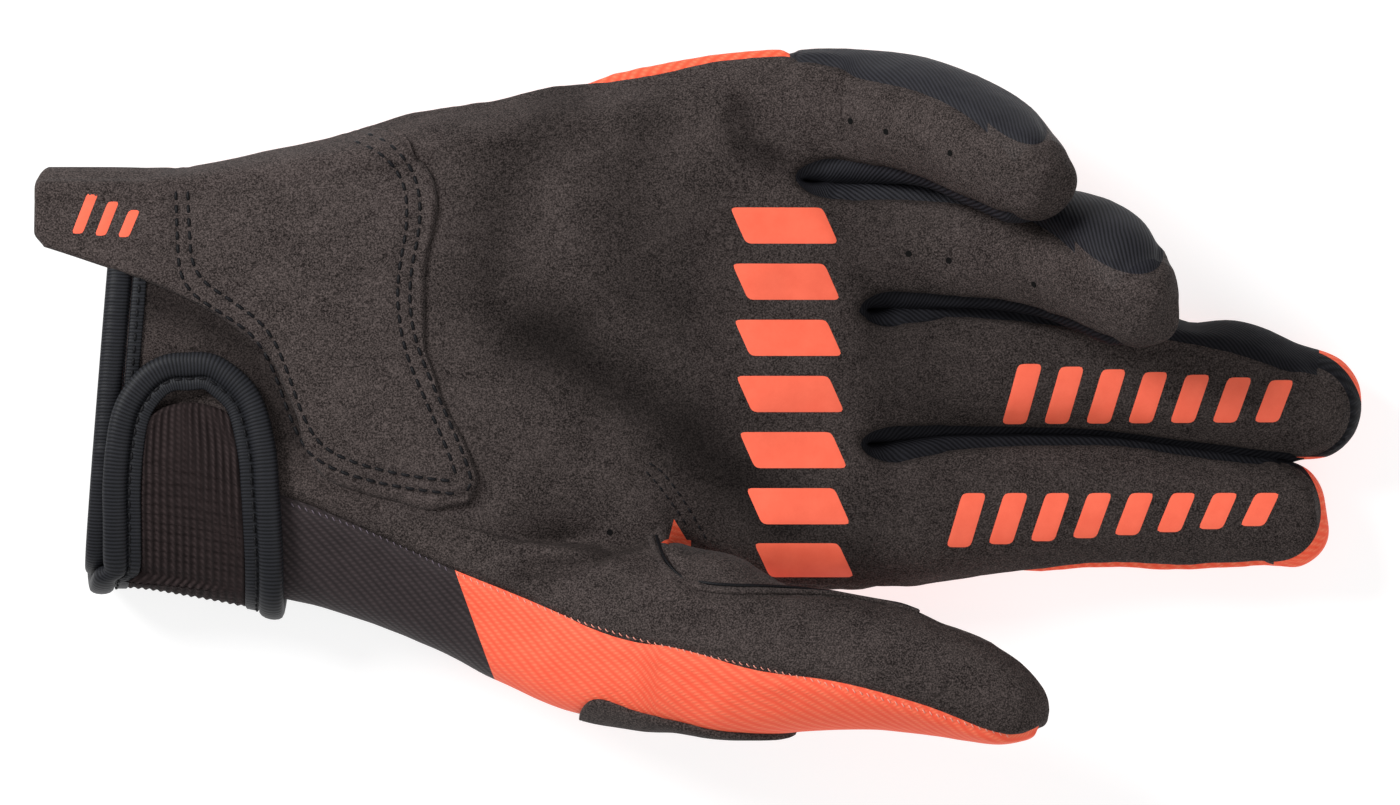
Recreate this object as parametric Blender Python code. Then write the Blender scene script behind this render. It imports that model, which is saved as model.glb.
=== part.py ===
# Motocross glove for the right hand, lying palm up on its back.
# Fingers point along +X, the little finger is on the +Y side, the palm faces +Z.
# One surface of quads runs over the hand, the fingers and the thumb. Its faces are labelled by
# the piece of cloth they belong to, and each piece is cut out and given its wall.
import math

import bpy
import numpy as np
from mathutils import Vector
from mathutils.bvhtree import BVHTree

MM = 0.001

# Driving dimensions, in millimetres
HAND_LENGTH = 139.0  # cuff edge to the foot of the middle finger
KNUCKLE_WIDTH = 97.4  # across the four fingers at their feet
HAND_DEPTH = 31.0  # palm to back at the thick of the hand
SUEDE_WALL = 1.3
KNIT_WALL = 1.3
FOURCHETTE_WALL = 1.0
PATCH_WALL = 1.2
FLAP_WALL = 1.8
PIPING_WIDTH = 4.4
TAPE_WIDTH = 2.5
PIPING_RISE = 0.84  # piping above the tape beside it
PIPING_BEVEL = 0.9  # its rounding, drawn as a bevel
EDGE_BEVEL = 0.3
SEAM_GAP = 0.3
LEAST_PULL = 0.35  # keeps a corner between opposite edges from being drawn in too far
PATCH_CLEARANCE = 0.95  # a laid patch over the faceted cloth under it
FOLD_WALL = 0.4  # wall in a fold between two fingers, and its growth away from there
FOLD_WALL_GROWTH = 0.13
WALL_ROOM = 0.4  # a wall is at most this share of its shortest quad's side

FRONT_COLUMNS = 4
SIDE_COLUMNS = 4
HAND_ROUNDNESS = 2.6
FINGER_ROUNDNESS = 2.15
TIP_ROUNDNESS = 2.3
BACK_REACH = 1.12  # the back's section would reach this far down, and the floor flattens it
CLOSING_ROWS = (0.45, 0.75, 0.93)  # shares of the way through the rounded tip

# Hand outline. Lengths along are shares of HAND_LENGTH, lateral ones shares of KNUCKLE_WIDTH
# from the middle of the knuckles, little finger side positive, and depths shares of HAND_DEPTH.
# "full" is the edge on the thumb side with the thumb, "solo" without it.
HAND_COLUMNS = "along full solo ulnar depth middle ulnar_seam"
HAND_TABLE = (
    (-0.02, -0.452, -0.400, 0.273, 0.87, 0.44, 194),
    (0.142, -0.482, -0.420, 0.285, 0.88, 0.44, 194),
    (0.272, -0.522, -0.430, 0.320, 0.93, 0.45, 194),
    (0.402, -0.579, -0.450, 0.376, 0.99, 0.46, 193),
    (0.531, -0.665, -0.470, 0.406, 1.03, 0.47, 190),
    (0.635, -0.737, -0.430, 0.437, 1.02, 0.47, 184),
    (0.777, -0.755, -0.425, 0.481, 0.98, 0.48, 174),
    (0.868, -0.760, -0.484, 0.498, 0.94, 0.48, 172),
    (1.030, -0.765, -0.503, 0.503, 0.90, 0.48, 172),
)
# Lines that run the length of the hand: the edge of the thumb's piece over the palm and under
# the hand, and the edge of the suede and of the textile under it
LINE_COLUMNS = "along thumb_line thumb_under suede_edge under_edge"
LINE_TABLE = (
    (0.000, -0.147, -0.190, -0.249, -0.330),
    (0.256, -0.221, -0.250, -0.323, -0.370),
    (0.402, -0.317, -0.330, -0.415, -0.430),
    (0.531, -0.415, -0.410, -0.494, -0.500),
    (0.609, -0.435, -0.440, -0.535, -0.560),
    (0.725, -0.398, -0.460, -0.588, -0.610),
    (0.777, -0.398, -0.470, -0.609, -0.620),
)
# Where the feet of the fingers lie: (along, lateral) of the outer edge, the three crotches
# and the edge on the thumb side
CROTCHES = ((0.907, 0.493), (0.916, 0.260), (1.000, 0.018), (1.000, -0.226), (1.030, -0.500))
CUFF_SLANT = (0.035, -0.010)  # cuff edge at the little finger side and at the thumb side
CUFF_SPAN = (0.3, -0.5)  # the lateral places that these two belong to
CUFF_LINES = (0.28, 0.18, 0.07, -0.04, -0.15)  # where the strips of the fingers start at the cuff
STRIP_LINES = (0.176, 0.068, -0.040)  # and the three lines between them
HAND_ROWS = (0.0, 0.085, 0.17, 0.26, 0.35, 0.43, 0.51, 0.58, 0.645)
WEB_ROW = 0.705
KNUCKLE_ROWS = (0.735, 0.785, 0.84, 0.895, 0.95, 1.0)
THUMB_PIECE_START = 0.51  # row share where the thumb's own suede begins

# Fingers: root (along, lateral), length, width and depth in millimetres, and the share of the
# length where the rounded tip begins
FINGERS = {
    "pinky": dict(root=(0.911, 0.380), length=47.4, width=21.6, depth=22.5, closing=0.87),
    "ring": dict(root=(0.958, 0.139), length=60.8, width=21.4, depth=22.5, closing=0.87),
    "middle": dict(root=(1.000, -0.105), length=90.2, width=23.6, depth=23.0, closing=0.90),
    "index": dict(root=(1.018, -0.363), length=81.2, width=24.2, depth=23.5, closing=0.90),
    "thumb": dict(root=(0.732, -0.570), length=70.6, width=29.0, depth=24.5, closing=0.86),
}
# Stations along a finger: reach is a share of its length, sway the centre's side step as a share
# of its length, wide and deep shares of its width and depth, height the centre's height as a
# share of HAND_DEPTH, and the two angles place the edges of the suede (90 faces the palm side,
# 180 the little finger side, 0 the thumb side).
STATION_COLUMNS = "reach sway wide deep height ulnar_seam radial_seam"
STATIONS = {
    "pinky": (
        (-0.30, 0.000, 0.98, 1.15, 0.47, 176, 30),
        (0.00, -0.012, 1.08, 1.12, 0.47, 158, 40),
        (0.17, 0.004, 1.10, 1.04, 0.51, 140, 43),
        (0.31, 0.004, 1.07, 1.00, 0.58, 128, 37),
        (0.45, -0.010, 1.01, 0.98, 0.78, 124, 29),
        (0.60, -0.058, 0.96, 0.95, 0.97, 126, 24),
        (0.74, -0.130, 0.92, 0.92, 1.18, 127, 28),
        (0.86, -0.205, 0.86, 0.86, 1.37, 120, 30),
        (1.00, -0.300, 0.78, 0.76, 1.60, 100, 32),
    ),
    "ring": (
        (-0.30, 0.000, 1.00, 1.15, 0.47, 152, 30),
        (0.00, 0.000, 1.03, 1.12, 0.47, 147, 33),
        (0.20, 0.004, 1.03, 1.04, 0.50, 140, 28),
        (0.40, 0.000, 1.00, 0.96, 0.59, 136, 26),
        (0.59, -0.014, 0.98, 0.93, 0.77, 130, 20),
        (0.72, -0.042, 1.01, 0.92, 0.97, 118, 22),
        (0.85, -0.102, 0.97, 0.90, 1.21, 104, 28),
        (1.00, -0.225, 0.88, 0.80, 1.56, 98, 32),
    ),
    "middle": (
        (-0.30, 0.000, 1.00, 1.12, 0.46, 148, 26),
        (0.00, 0.004, 1.00, 1.08, 0.45, 144, 29),
        (0.20, 0.019, 1.01, 1.02, 0.39, 143, 22),
        (0.48, 0.015, 1.00, 0.98, 0.35, 125, 17),
        (0.68, -0.005, 1.05, 0.96, 0.34, 120, 16),
        (0.83, -0.041, 0.91, 0.90, 0.34, 118, 20),
        (0.91, -0.054, 0.85, 0.84, 0.34, 120, 17),
        (1.00, -0.066, 0.78, 0.78, 0.34, 112, 40),
    ),
    "index": (
        (-0.30, 0.000, 1.00, 1.10, 0.46, 158, -8),
        (0.00, 0.001, 1.08, 1.06, 0.45, 146, -8),
        (0.19, 0.022, 1.05, 1.02, 0.39, 149, -5),
        (0.45, 0.034, 0.98, 0.95, 0.35, 154, 8),
        (0.72, 0.016, 0.87, 0.90, 0.33, 160, 13),
        (0.90, 0.012, 0.76, 0.84, 0.33, 156, 16),
        (1.00, 0.012, 0.72, 0.78, 0.33, 134, 38),
    ),
    "thumb": (
        (-0.60, 0.214, 1.10, 1.20, 0.56, 150, 84),
        (-0.30, 0.074, 1.20, 1.18, 0.70, 152, 91),
        (0.00, 0.000, 1.20, 1.10, 0.89, 150, 84),
        (0.09, -0.016, 1.14, 1.04, 0.95, 121, 85),
        (0.16, -0.040, 1.07, 1.00, 0.99, 127, 85),
        (0.27, -0.075, 0.99, 0.96, 1.03, 148, 84),
        (0.45, -0.090, 0.86, 0.92, 1.05, 174, 79),
        (0.60, -0.102, 0.79, 0.88, 1.06, 178, 69),
        (0.78, -0.142, 0.70, 0.82, 1.06, 176, 56),
        (0.90, -0.186, 0.58, 0.74, 1.06, 170, 44),
        (1.00, -0.216, 0.50, 0.66, 1.06, 165, 40),
    ),
}
FINGER_ROWS = {
    "pinky": (0.07, 0.14, 0.24, 0.36, 0.49, 0.62, 0.75, 0.87),
    "ring": (0.08, 0.16, 0.26, 0.38, 0.50, 0.63, 0.76, 0.87),
    "middle": (0.035, 0.09, 0.17, 0.28, 0.40, 0.52, 0.64, 0.76, 0.84, 0.90),
    "index": (0.04, 0.10, 0.18, 0.30, 0.42, 0.54, 0.66, 0.78, 0.85, 0.90),
    "thumb": (0.07, 0.13, 0.19, 0.25, 0.32, 0.43, 0.54, 0.65, 0.76, 0.86),
}
SUEDE_END = 0.97  # where the suede ends on the tips of the two straight fingers
BACK_SEAM = 38  # the back piece's edges lie this far under the sides, in degrees
SIDE_PIECE_END = {"pinky": 0.92, "ring": 0.92, "middle": 0.85, "index": 0.86, "thumb": 0.77}
THUMB_UNDER_SEAM = -60  # and the thumb's suede and textile meet here under it
SLANT_END = 0.45  # reach where a finger's rows no longer follow the slant of its crotches
REACH_STEP = 0.02
FINGER_BLEND = (0.80, 0.55)  # row share where the fingers start to show, and how much at the end
THUMB_BLEND = (0.30, 1.0)  # the same for the thumb
WEB_SEAM = 48.0  # angle of the suede's edge beside the web
SIDE_SEAM = -8.0  # and where it has come down to the side of the first finger
SIDE_SEAM_ROW = 0.755

# Hollows and folds in the palm: along, lateral, long, short (shares of HAND_LENGTH), turn in
# degrees and depth as a share of HAND_DEPTH
FOLDS = (
    (0.62, -0.020, 0.26, 0.150, 20, 0.090),
    (0.540, 0.165, 0.16, 0.040, 80, 0.040),
    (0.710, -0.130, 0.12, 0.045, 140, 0.045),
    (0.845, 0.360, 0.07, 0.020, 100, 0.045),
    (0.640, -0.430, 0.10, 0.022, 12, 0.060),
)

# Heel patch with its pull tab: four edges in shares (along, lateral)
PATCH_LOWER = (
    (-0.052, 0.145), (0.016, 0.101), (0.065, 0.077), (0.137, 0.032), (0.202, -0.027),
    (0.243, -0.088), (0.268, -0.170), (0.280, -0.235), (0.300, -0.282), (0.345, -0.314),
    (0.429, -0.343), (0.490, -0.340),
)
PATCH_RIGHT = (
    (0.490, -0.340), (0.504, -0.299), (0.492, -0.241), (0.456, -0.138), (0.435, -0.040),
    (0.435, 0.071), (0.451, 0.213), (0.442, 0.270), (0.405, 0.318),
)
PATCH_UPPER = ((-0.058, 0.262), (-0.040, 0.280), (0.026, 0.284), (0.130, 0.290), (0.250, 0.322),
               (0.340, 0.352), (0.405, 0.318))
PATCH_LEFT = ((-0.052, 0.145), (-0.068, 0.175), (-0.070, 0.215), (-0.068, 0.240), (-0.058, 0.262))
PATCH_GRID = (16, 11)
CORNER_SOFTNESS = 0.3  # evens out the weights of the corners round a place, in millimetres
ANGLE_SCALE = 0.0035  # share of the hand's length that one degree round the wrist stands for

# Wrist flap: middle line of its edging as (along, lateral) shares over the palm side, then
# how far it runs on round the thumb side, as an angle
FLAP_LINE = (
    (0.043, -0.323), (0.046, -0.240), (0.056, -0.165), (0.082, -0.115), (0.125, -0.095),
    (0.171, -0.106), (0.203, -0.150), (0.217, -0.220), (0.225, -0.323),
)
FLAP_WRAP = -34  # where the flap ends, under the thumb side of the cuff
FLAP_WRAP_ALONG = (0.015, 0.231)  # its two edges there
FLAP_SIDE_ALONG = (0.022, 0.230)  # and at the side of the wrist
FLAP_LINE_POINTS = 121
FLAP_STATIONS = 34
FLAP_GRID = (8, 10)
FLAP_LIFT = 1.4  # over the cloth, so that the flap clears the cuff's binding
FLAP_ARCH = 0.42  # share of the edging's length where the flap's top row lies
FLAP_CREST = 2.2  # how far that row bulges into the arch, in millimetres
FLAP_CREST_POWER = 4  # and how quickly the rows below it straighten
FLAP_ROW_POWER = 0.85
CUFF_STATIONS = 56
CUFF_RISE = 0.45  # the cuff's piping over the cloth
CUFF_BEVEL = 0.7
CUFF_HEM = 0.9  # how deep its straight sides run
CUFF_HEM_BEVEL = 0.4

THUMB_PATCH_REACH = (-0.15, 0.37)
THUMB_PATCH_ANGLES = (-20, -82)
THUMB_PATCH_GRID = (8, 5)
THUMB_PATCH_TAPER = 6  # degrees that its corners draw in
THUMB_PATCH_POWER = 3

SHARP_ANGLE = 50  # degrees between two faces where the shading breaks

COLOURS = {
    "palm_suede": (0.041, 0.033, 0.031),
    "thumb_suede": (0.054, 0.042, 0.039),
    "heel_suede": (0.061, 0.048, 0.045),
    "orange_textile": (0.99, 0.171, 0.095),
    "black_twill": (0.022, 0.021, 0.025),
    "knit": (0.034, 0.023, 0.023),
    "binding": (0.028, 0.030, 0.033),
}


class Curve:
    # Smooth line through a table's values, straight on beyond its ends
    def __init__(self, places, values):
        self.x = np.asarray(places, float)
        self.y = np.asarray(values, float)
        rise = np.diff(self.y) / np.diff(self.x)
        slope = np.concatenate([[rise[0]], (rise[1:] + rise[:-1]) / 2, [rise[-1]]])
        flat = np.concatenate([[False], rise[1:] * rise[:-1] <= 0, [False]])
        self.slope = np.where(flat, 0.0, slope)

    def __call__(self, at):
        k = int(np.clip(np.searchsorted(self.x, at) - 1, 0, len(self.x) - 2))
        width = self.x[k + 1] - self.x[k]
        t = (at - self.x[k]) / width
        if t < 0:
            return self.y[0] + self.slope[0] * t * width
        if t > 1:
            return self.y[-1] + self.slope[-1] * (t - 1) * width
        ease = t * t * (3 - 2 * t)
        bend = self.slope[k] * t * (1 - t) ** 2 - self.slope[k + 1] * t * t * (1 - t)
        return float(self.y[k] * (1 - ease) + self.y[k + 1] * ease + bend * width)


def curves(columns, rows):
    names = columns.split()
    table = np.array(rows, float)
    return {name: Curve(table[:, 0], table[:, k]) for k, name in enumerate(names)}


HAND = curves(HAND_COLUMNS, HAND_TABLE)
LINES = curves(LINE_COLUMNS, LINE_TABLE)
STATION = {name: curves(STATION_COLUMNS, rows) for name, rows in STATIONS.items()}
FOUR = ("pinky", "ring", "middle", "index")


def mix(a, b, share):
    return a * (1 - share) + b * share


def ease(low, high, at):
    t = min(max((at - low) / (high - low), 0.0), 1.0)
    return t * t * (3 - 2 * t)


def rounded(angle, roundness):
    # Point of a rounded unit section: (towards the little finger, towards the palm side)
    c, s = math.cos(math.radians(angle)), math.sin(math.radians(angle))
    power = 2.0 / roundness
    return -math.copysign(abs(c) ** power, c), math.copysign(abs(s) ** power, s)


def fold_depth(x, y):
    total = 0.0
    for along, lateral, long, short, turn, depth in FOLDS:
        dx = x - along * HAND_LENGTH
        dy = y - lateral * KNUCKLE_WIDTH
        c, s = math.cos(math.radians(turn)), math.sin(math.radians(turn))
        p = (dx * c - dy * s) / (long * HAND_LENGTH)
        q = (dx * s + dy * c) / (short * HAND_LENGTH)
        total += depth * HAND_DEPTH * math.exp(-(p * p + q * q) * 2)
    return total


def hand_section(x, edge):
    at = x / HAND_LENGTH
    low = HAND[edge](at) * KNUCKLE_WIDTH
    high = HAND["ulnar"](at) * KNUCKLE_WIDTH
    depth = HAND["depth"](at) * HAND_DEPTH
    middle = HAND["middle"](at) * HAND_DEPTH
    return (low + high) / 2, (high - low) / 2, middle, depth - middle


def hand_point(x, angle, edge="full"):
    centre, half, middle, over = hand_section(x, edge)
    side, up = rounded(angle, HAND_ROUNDNESS)
    y = centre + half * side
    if up > 0:
        z = middle + over * up - fold_depth(x, y) * up
    else:
        z = middle * (1 + BACK_REACH * up)
    return np.array([x, y, max(z, 0.0)])


def hand_angle(x, lateral, edge="full"):
    # Angle at which the palm side of the section passes over this lateral place
    centre, half, _, _ = hand_section(x, edge)
    t = min(max((lateral * KNUCKLE_WIDTH - centre) / half, -0.999), 0.999)
    return math.degrees(math.acos(-math.copysign(abs(t) ** (HAND_ROUNDNESS / 2), t)))


def finger_centre(name, reach):
    finger = FINGERS[name]
    station = STATION[name]
    x = finger["root"][0] * HAND_LENGTH + reach * finger["length"]
    y = finger["root"][1] * KNUCKLE_WIDTH + station["sway"](reach) * finger["length"]
    return np.array([x, y, station["height"](reach) * HAND_DEPTH])


def finger_slant(name):
    # Difference along the hand between the two crotches beside a finger
    if name == "thumb":
        return 0.0
    k = FOUR.index(name)
    return (CROTCHES[k + 1][0] - CROTCHES[k][0]) * HAND_LENGTH


def finger_point(name, reach, angle):
    finger = FINGERS[name]
    station = STATION[name]
    centre = finger_centre(name, reach)
    along = finger_centre(name, reach + REACH_STEP) - finger_centre(name, reach - REACH_STEP)
    along /= np.linalg.norm(along)
    side = np.array([0.0, 1.0, 0.0]) - along * along[1]
    side /= np.linalg.norm(side)
    up = np.cross(along, side)
    closing = finger["closing"]
    shrink = 1.0
    if reach > closing:
        into = (reach - closing) / (1 - closing)
        shrink = max(1 - into ** TIP_ROUNDNESS, 0.0) ** (1 / TIP_ROUNDNESS)
    a, b = rounded(angle, FINGER_ROUNDNESS)
    half = finger["width"] / 2 * station["wide"](reach) * shrink
    deep = finger["depth"] / 2 * station["deep"](reach) * shrink
    slant = finger_slant(name) * -a / 2 * (1 - ease(0.0, SLANT_END, reach))
    point = centre + side * half * a + up * deep * b + along * slant
    point[2] = max(point[2], 0.0)
    return point


def seam_angles(name, reach):
    station = STATION[name]
    return station["ulnar_seam"](reach), station["radial_seam"](reach)


def cuff_x(lateral):
    # The cuff's edge runs slanted across the wrist
    share = (lateral - CUFF_SPAN[1]) / (CUFF_SPAN[0] - CUFF_SPAN[1])
    return mix(CUFF_SLANT[1], CUFF_SLANT[0], share) * HAND_LENGTH


def row_x(row, strip):
    # Place along the hand of a row at a strip line, from the slanted cuff to the slanted crotches
    lateral = np.interp(strip, range(5), CUFF_LINES)
    start = cuff_x(lateral) + PIPING_WIDTH + SEAM_GAP
    end = np.interp(strip, range(5), [c[0] for c in CROTCHES]) * HAND_LENGTH
    return start + (end - start) * row


class Cage:
    # The whole outer surface: points, quads and the piece that each quad belongs to
    def __init__(self):
        self.points = []
        self.faces = []
        self.labels = []
        self.folds = []

    def add(self, point):
        self.points.append(np.array(point, float))
        return len(self.points) - 1

    def add_face(self, label, corners):
        self.faces.append(tuple(corners))
        self.labels.append(label)

    def span(self, first, second, label_of):
        # Quads between two rings. A ring has four lists: over, radial, under and ulnar
        for part in ("over", "radial", "under", "ulnar"):
            a, b = first[part], second[part]
            for k in range(len(a) - 1):
                corners = (a[k], a[k + 1], b[k + 1], b[k])
                if part in ("under", "ulnar"):
                    corners = corners[::-1]
                self.add_face(label_of(part, k // FRONT_COLUMNS), corners)

    def ring(self, over, radial, under, ulnar):
        # Each argument holds points. The side lists leave out their ends, which are shared
        top = [self.add(p) for p in over]
        low = [self.add(p) for p in under]
        right = [top[-1]] + [self.add(p) for p in radial] + [low[-1]]
        left = [top[0]] + [self.add(p) for p in ulnar] + [low[0]]
        return dict(over=top, radial=right, under=low, ulnar=left)

    def fold(self, top, low):
        # Line of the cloth between two fingers, from the palm side to the back
        a, b = self.points[top], self.points[low]
        middle = [a + (b - a) * k / SIDE_COLUMNS for k in range(1, SIDE_COLUMNS)]
        line = [top] + [self.add(p) for p in middle] + [low]
        self.folds.append(line)
        return line


def solo_seam(row):
    # The suede's edge on the thumb side comes down from the web to the side of the first finger
    return mix(WEB_SEAM, SIDE_SEAM, ease(WEB_ROW, SIDE_SEAM_ROW, row))


def steps(a, b, count):
    return [a + (b - a) * k / count for k in range(1, count)]


def hand_ring(cage, row):
    with_thumb = row <= WEB_ROW
    edge = "full" if with_thumb else "solo"
    names = FOUR + (("thumb",) if with_thumb else ())
    strips = len(names)
    columns = strips * FRONT_COLUMNS
    finger_share = ease(FINGER_BLEND[0], 1.0, row) * FINGER_BLEND[1]
    thumb_share = ease(THUMB_BLEND[0], WEB_ROW, row) * THUMB_BLEND[1]
    solo_share = ease(THUMB_BLEND[0], WEB_ROW, row) if with_thumb else 1.0

    def strip_lines(under):
        # Lateral shares of the lines between the strips at this row
        foot = [c[1] for c in CROTCHES]
        x = row_x(row, 2.0) / HAND_LENGTH
        inner = [mix(start, end, row) for start, end in zip(STRIP_LINES, foot[1:4])]
        if not with_thumb:
            return [None] + inner + [None]
        line = LINES["thumb_under" if under else "thumb_line"](x)
        return [None] + inner + [line, None]

    def line_points(under):
        # All the points of the palm side or of the back, from the little finger side on
        lines = strip_lines(under)
        x0 = row_x(row, 0.0)
        angle0 = HAND["ulnar_seam"](x0 / HAND_LENGTH)
        if under:
            angle0 = 180 + BACK_SEAM
        centre, half, _, _ = hand_section(x0, edge)
        lines[0] = (centre + half * rounded(angle0, HAND_ROUNDNESS)[0]) / KNUCKLE_WIDTH
        x1 = row_x(row, min(strips, 4))
        if with_thumb:
            lines[-1] = LINES["under_edge" if under else "suede_edge"](x1 / HAND_LENGTH)
        else:
            angle1 = -BACK_SEAM if under else solo_seam(row)
            centre, half, _, _ = hand_section(x1, edge)
            lines[-1] = (centre + half * rounded(angle1, HAND_ROUNDNESS)[0]) / KNUCKLE_WIDTH
        found = []
        for k in range(columns + 1):
            strip = k / FRONT_COLUMNS
            x = row_x(row, min(strip, 4))
            lateral = np.interp(strip, range(strips + 1), lines)
            angle = hand_angle(x, lateral, edge)
            if k == 0 and not under:
                angle = angle0
            found.append(place(x, -angle if under else angle, lateral, strip, under))
        return found

    def drawn(x, name, step, under):
        finger = FINGERS[name]
        reach = (x - finger["root"][0] * HAND_LENGTH) / finger["length"]
        ulnar, radial = seam_angles(name, reach)
        if under:
            ulnar, radial = -180 + BACK_SEAM, -BACK_SEAM
            if name == "thumb":
                radial = THUMB_UNDER_SEAM
        point = finger_point(name, reach, mix(ulnar, radial, step))
        point[0] = mix(x, point[0], thumb_share) if name == "thumb" else x
        return point

    def place(x, angle, lateral, strip, under):
        point = hand_point(x, angle, edge)
        if solo_share > 0 and with_thumb and strip <= 4:
            solo = hand_point(x, hand_angle(x, lateral, "solo") * (-1 if under else 1), "solo")
            if strip == 0:
                solo = point
            point = mix(point, solo, solo_share * ease(1.0, 4.0, strip))
        k = min(int(strip), strips - 1)
        step = strip - k
        beside = [(k, step)]
        if step == 0 and k > 0:
            beside.append((k - 1, 1.0))
        drawn_points = []
        for which, inside in beside:
            share = thumb_share if names[which] == "thumb" else finger_share
            drawn_points.append(mix(point, drawn(x, names[which], inside, under), share))
        return sum(drawn_points) / len(drawn_points)

    over = line_points(False)
    under = line_points(True)
    x0, x1 = row_x(row, 0.0), row_x(row, 4.0)
    ulnar_angles = steps(HAND["ulnar_seam"](x0 / HAND_LENGTH), 180 + BACK_SEAM, SIDE_COLUMNS)
    ulnar = [hand_point(x0, angle, edge) for angle in ulnar_angles]
    if finger_share > 0:
        reach = (x0 - FINGERS["pinky"]["root"][0] * HAND_LENGTH) / FINGERS["pinky"]["length"]
        start = seam_angles("pinky", reach)[0]
        for k, angle in enumerate(steps(start, 180 + BACK_SEAM, SIDE_COLUMNS)):
            target = finger_point("pinky", reach, angle)
            target[0] = x0
            ulnar[k] = mix(ulnar[k], target, finger_share)
    radial = []
    if with_thumb:
        top = hand_angle(x1, LINES["suede_edge"](x1 / HAND_LENGTH), edge)
        low = -hand_angle(x1, LINES["under_edge"](x1 / HAND_LENGTH), edge)
        name, share = "thumb", thumb_share
        low_finger = THUMB_UNDER_SEAM
    else:
        top, low = solo_seam(row), -BACK_SEAM
        name, share = "index", finger_share
        low_finger = -BACK_SEAM
    finger = FINGERS[name]
    reach = (x1 - finger["root"][0] * HAND_LENGTH) / finger["length"]
    from_angle = seam_angles(name, reach)[1]
    for angle, own in zip(steps(top, low, SIDE_COLUMNS), steps(from_angle, low_finger, SIDE_COLUMNS)):
        point = hand_point(x1, angle, edge)
        target = finger_point(name, reach, own)
        target[0] = mix(x1, target[0], share) if with_thumb else x1
        radial.append(mix(point, target, share))
    return cage.ring(over, radial, under, ulnar)


def finger_ring(cage, name, reach):
    ulnar, radial = seam_angles(name, reach)
    under_ulnar, under_radial = 180 + BACK_SEAM, -BACK_SEAM
    if name == "thumb":
        under_radial = THUMB_UNDER_SEAM

    def points(angles):
        return [finger_point(name, reach, a) for a in angles]

    def whole(a, b, count):
        return [a] + steps(a, b, count) + [b]

    return cage.ring(
        points(whole(ulnar, radial, FRONT_COLUMNS)),
        points(steps(radial, under_radial, SIDE_COLUMNS)),
        points(whole(under_ulnar, 360 + under_radial, FRONT_COLUMNS)),
        points(steps(ulnar, under_ulnar, SIDE_COLUMNS)),
    )


def slice_ring(ring, first, last, radial, ulnar):
    a, b = first * FRONT_COLUMNS, last * FRONT_COLUMNS + 1
    return dict(over=ring["over"][a:b], under=ring["under"][a:b], radial=radial, ulnar=ulnar)


def finger_labels(name, reach):
    # Which piece each side of a finger belongs to at this reach
    k = FOUR.index(name) if name in FOUR else 0
    webs = ("fourchette_ring_pinky", "fourchette_middle_ring", "fourchette_index_middle")
    side_left = "pinky_side_panel" if name == "pinky" else webs[k - 1]
    side_right = "back_panel" if name == "index" else webs[min(k, 2)]
    if name == "thumb":
        labels = dict(over="thumb_front", radial="thumb_side", under="thumb_side", ulnar="thumb_inner")
        tip = dict(over="thumb_front", radial="thumb_side", under="thumb_side", ulnar="thumb_front")
    else:
        labels = dict(over="palm_panel", radial=side_right, under="back_panel", ulnar=side_left)
        cap = "palm_panel" if name in ("pinky", "ring") else "back_panel"
        tip = dict(over=cap, radial=cap, under=cap, ulnar=cap)
        if reach < SUEDE_END - 1e-6:
            tip["over"] = "palm_panel"
    return tip if reach >= SIDE_PIECE_END[name] - 1e-6 else labels


def grow_finger(cage, name, base):
    closing = FINGERS[name]["closing"]
    reaches = list(FINGER_ROWS[name]) + [closing + (1 - closing) * share for share in CLOSING_ROWS]
    previous, start = base, -1.0
    for reach in reaches:
        ring = finger_ring(cage, name, reach)
        labels = finger_labels(name, start)
        cage.span(previous, ring, lambda part, strip, labels=labels: labels[part])
        previous, start = ring, reach
    # The last small ring is closed across, palm side to back
    labels = finger_labels(name, 1.0)
    half = SIDE_COLUMNS // 2
    top = previous["ulnar"][1:half][::-1] + previous["over"] + previous["radial"][1:half]
    low = previous["ulnar"][half + 1:-1] + previous["under"] + previous["radial"][half + 1:-1][::-1]
    ends = previous["ulnar"][half], previous["radial"][half]
    for k in range(len(top) - 1):
        cage.add_face(labels["over"], (top[k], top[k + 1], low[k + 1], low[k]))
    cage.add_face(labels["over"], (ends[0], top[0], low[0]))
    cage.add_face(labels["over"], (top[-1], ends[1], low[-1]))


def build_cage():
    cage = Cage()
    rings = [(row, hand_ring(cage, row)) for row in HAND_ROWS + (WEB_ROW,)]

    def wrist_label(row):
        def label(part, strip):
            if part == "over":
                return "thumb_front" if strip == 4 and row >= THUMB_PIECE_START - 1e-6 else "palm_panel"
            if part == "radial":
                return "thumb_side"
            if part == "under":
                return "thumb_side" if strip == 4 else "back_panel"
            return "back_panel"
        return label

    for (row, first), (_, second) in zip(rings, rings[1:]):
        cage.span(first, second, wrist_label(row))
    web = rings[-1][1]
    corner = 4 * FRONT_COLUMNS
    web_fold = cage.fold(web["over"][corner], web["under"][corner])
    thumb_base = slice_ring(web, 4, 5, web["radial"], web_fold)
    previous = slice_ring(web, 0, 4, web_fold, web["ulnar"])
    for row in KNUCKLE_ROWS:
        ring = hand_ring(cage, row)
        cage.span(previous, ring, lambda part, strip: "palm_panel" if part == "over" else "back_panel")
        previous = ring
    folds = []
    for k in range(1, 4):
        corner = k * FRONT_COLUMNS
        folds.append(cage.fold(previous["over"][corner], previous["under"][corner]))
    left = [previous["ulnar"]] + folds
    right = folds + [previous["radial"]]
    for k, name in enumerate(FOUR):
        grow_finger(cage, name, slice_ring(previous, k, k + 1, right[k], left[k]))
    grow_finger(cage, "thumb", thumb_base)
    cage.points = np.array(cage.points)
    return cage


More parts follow.
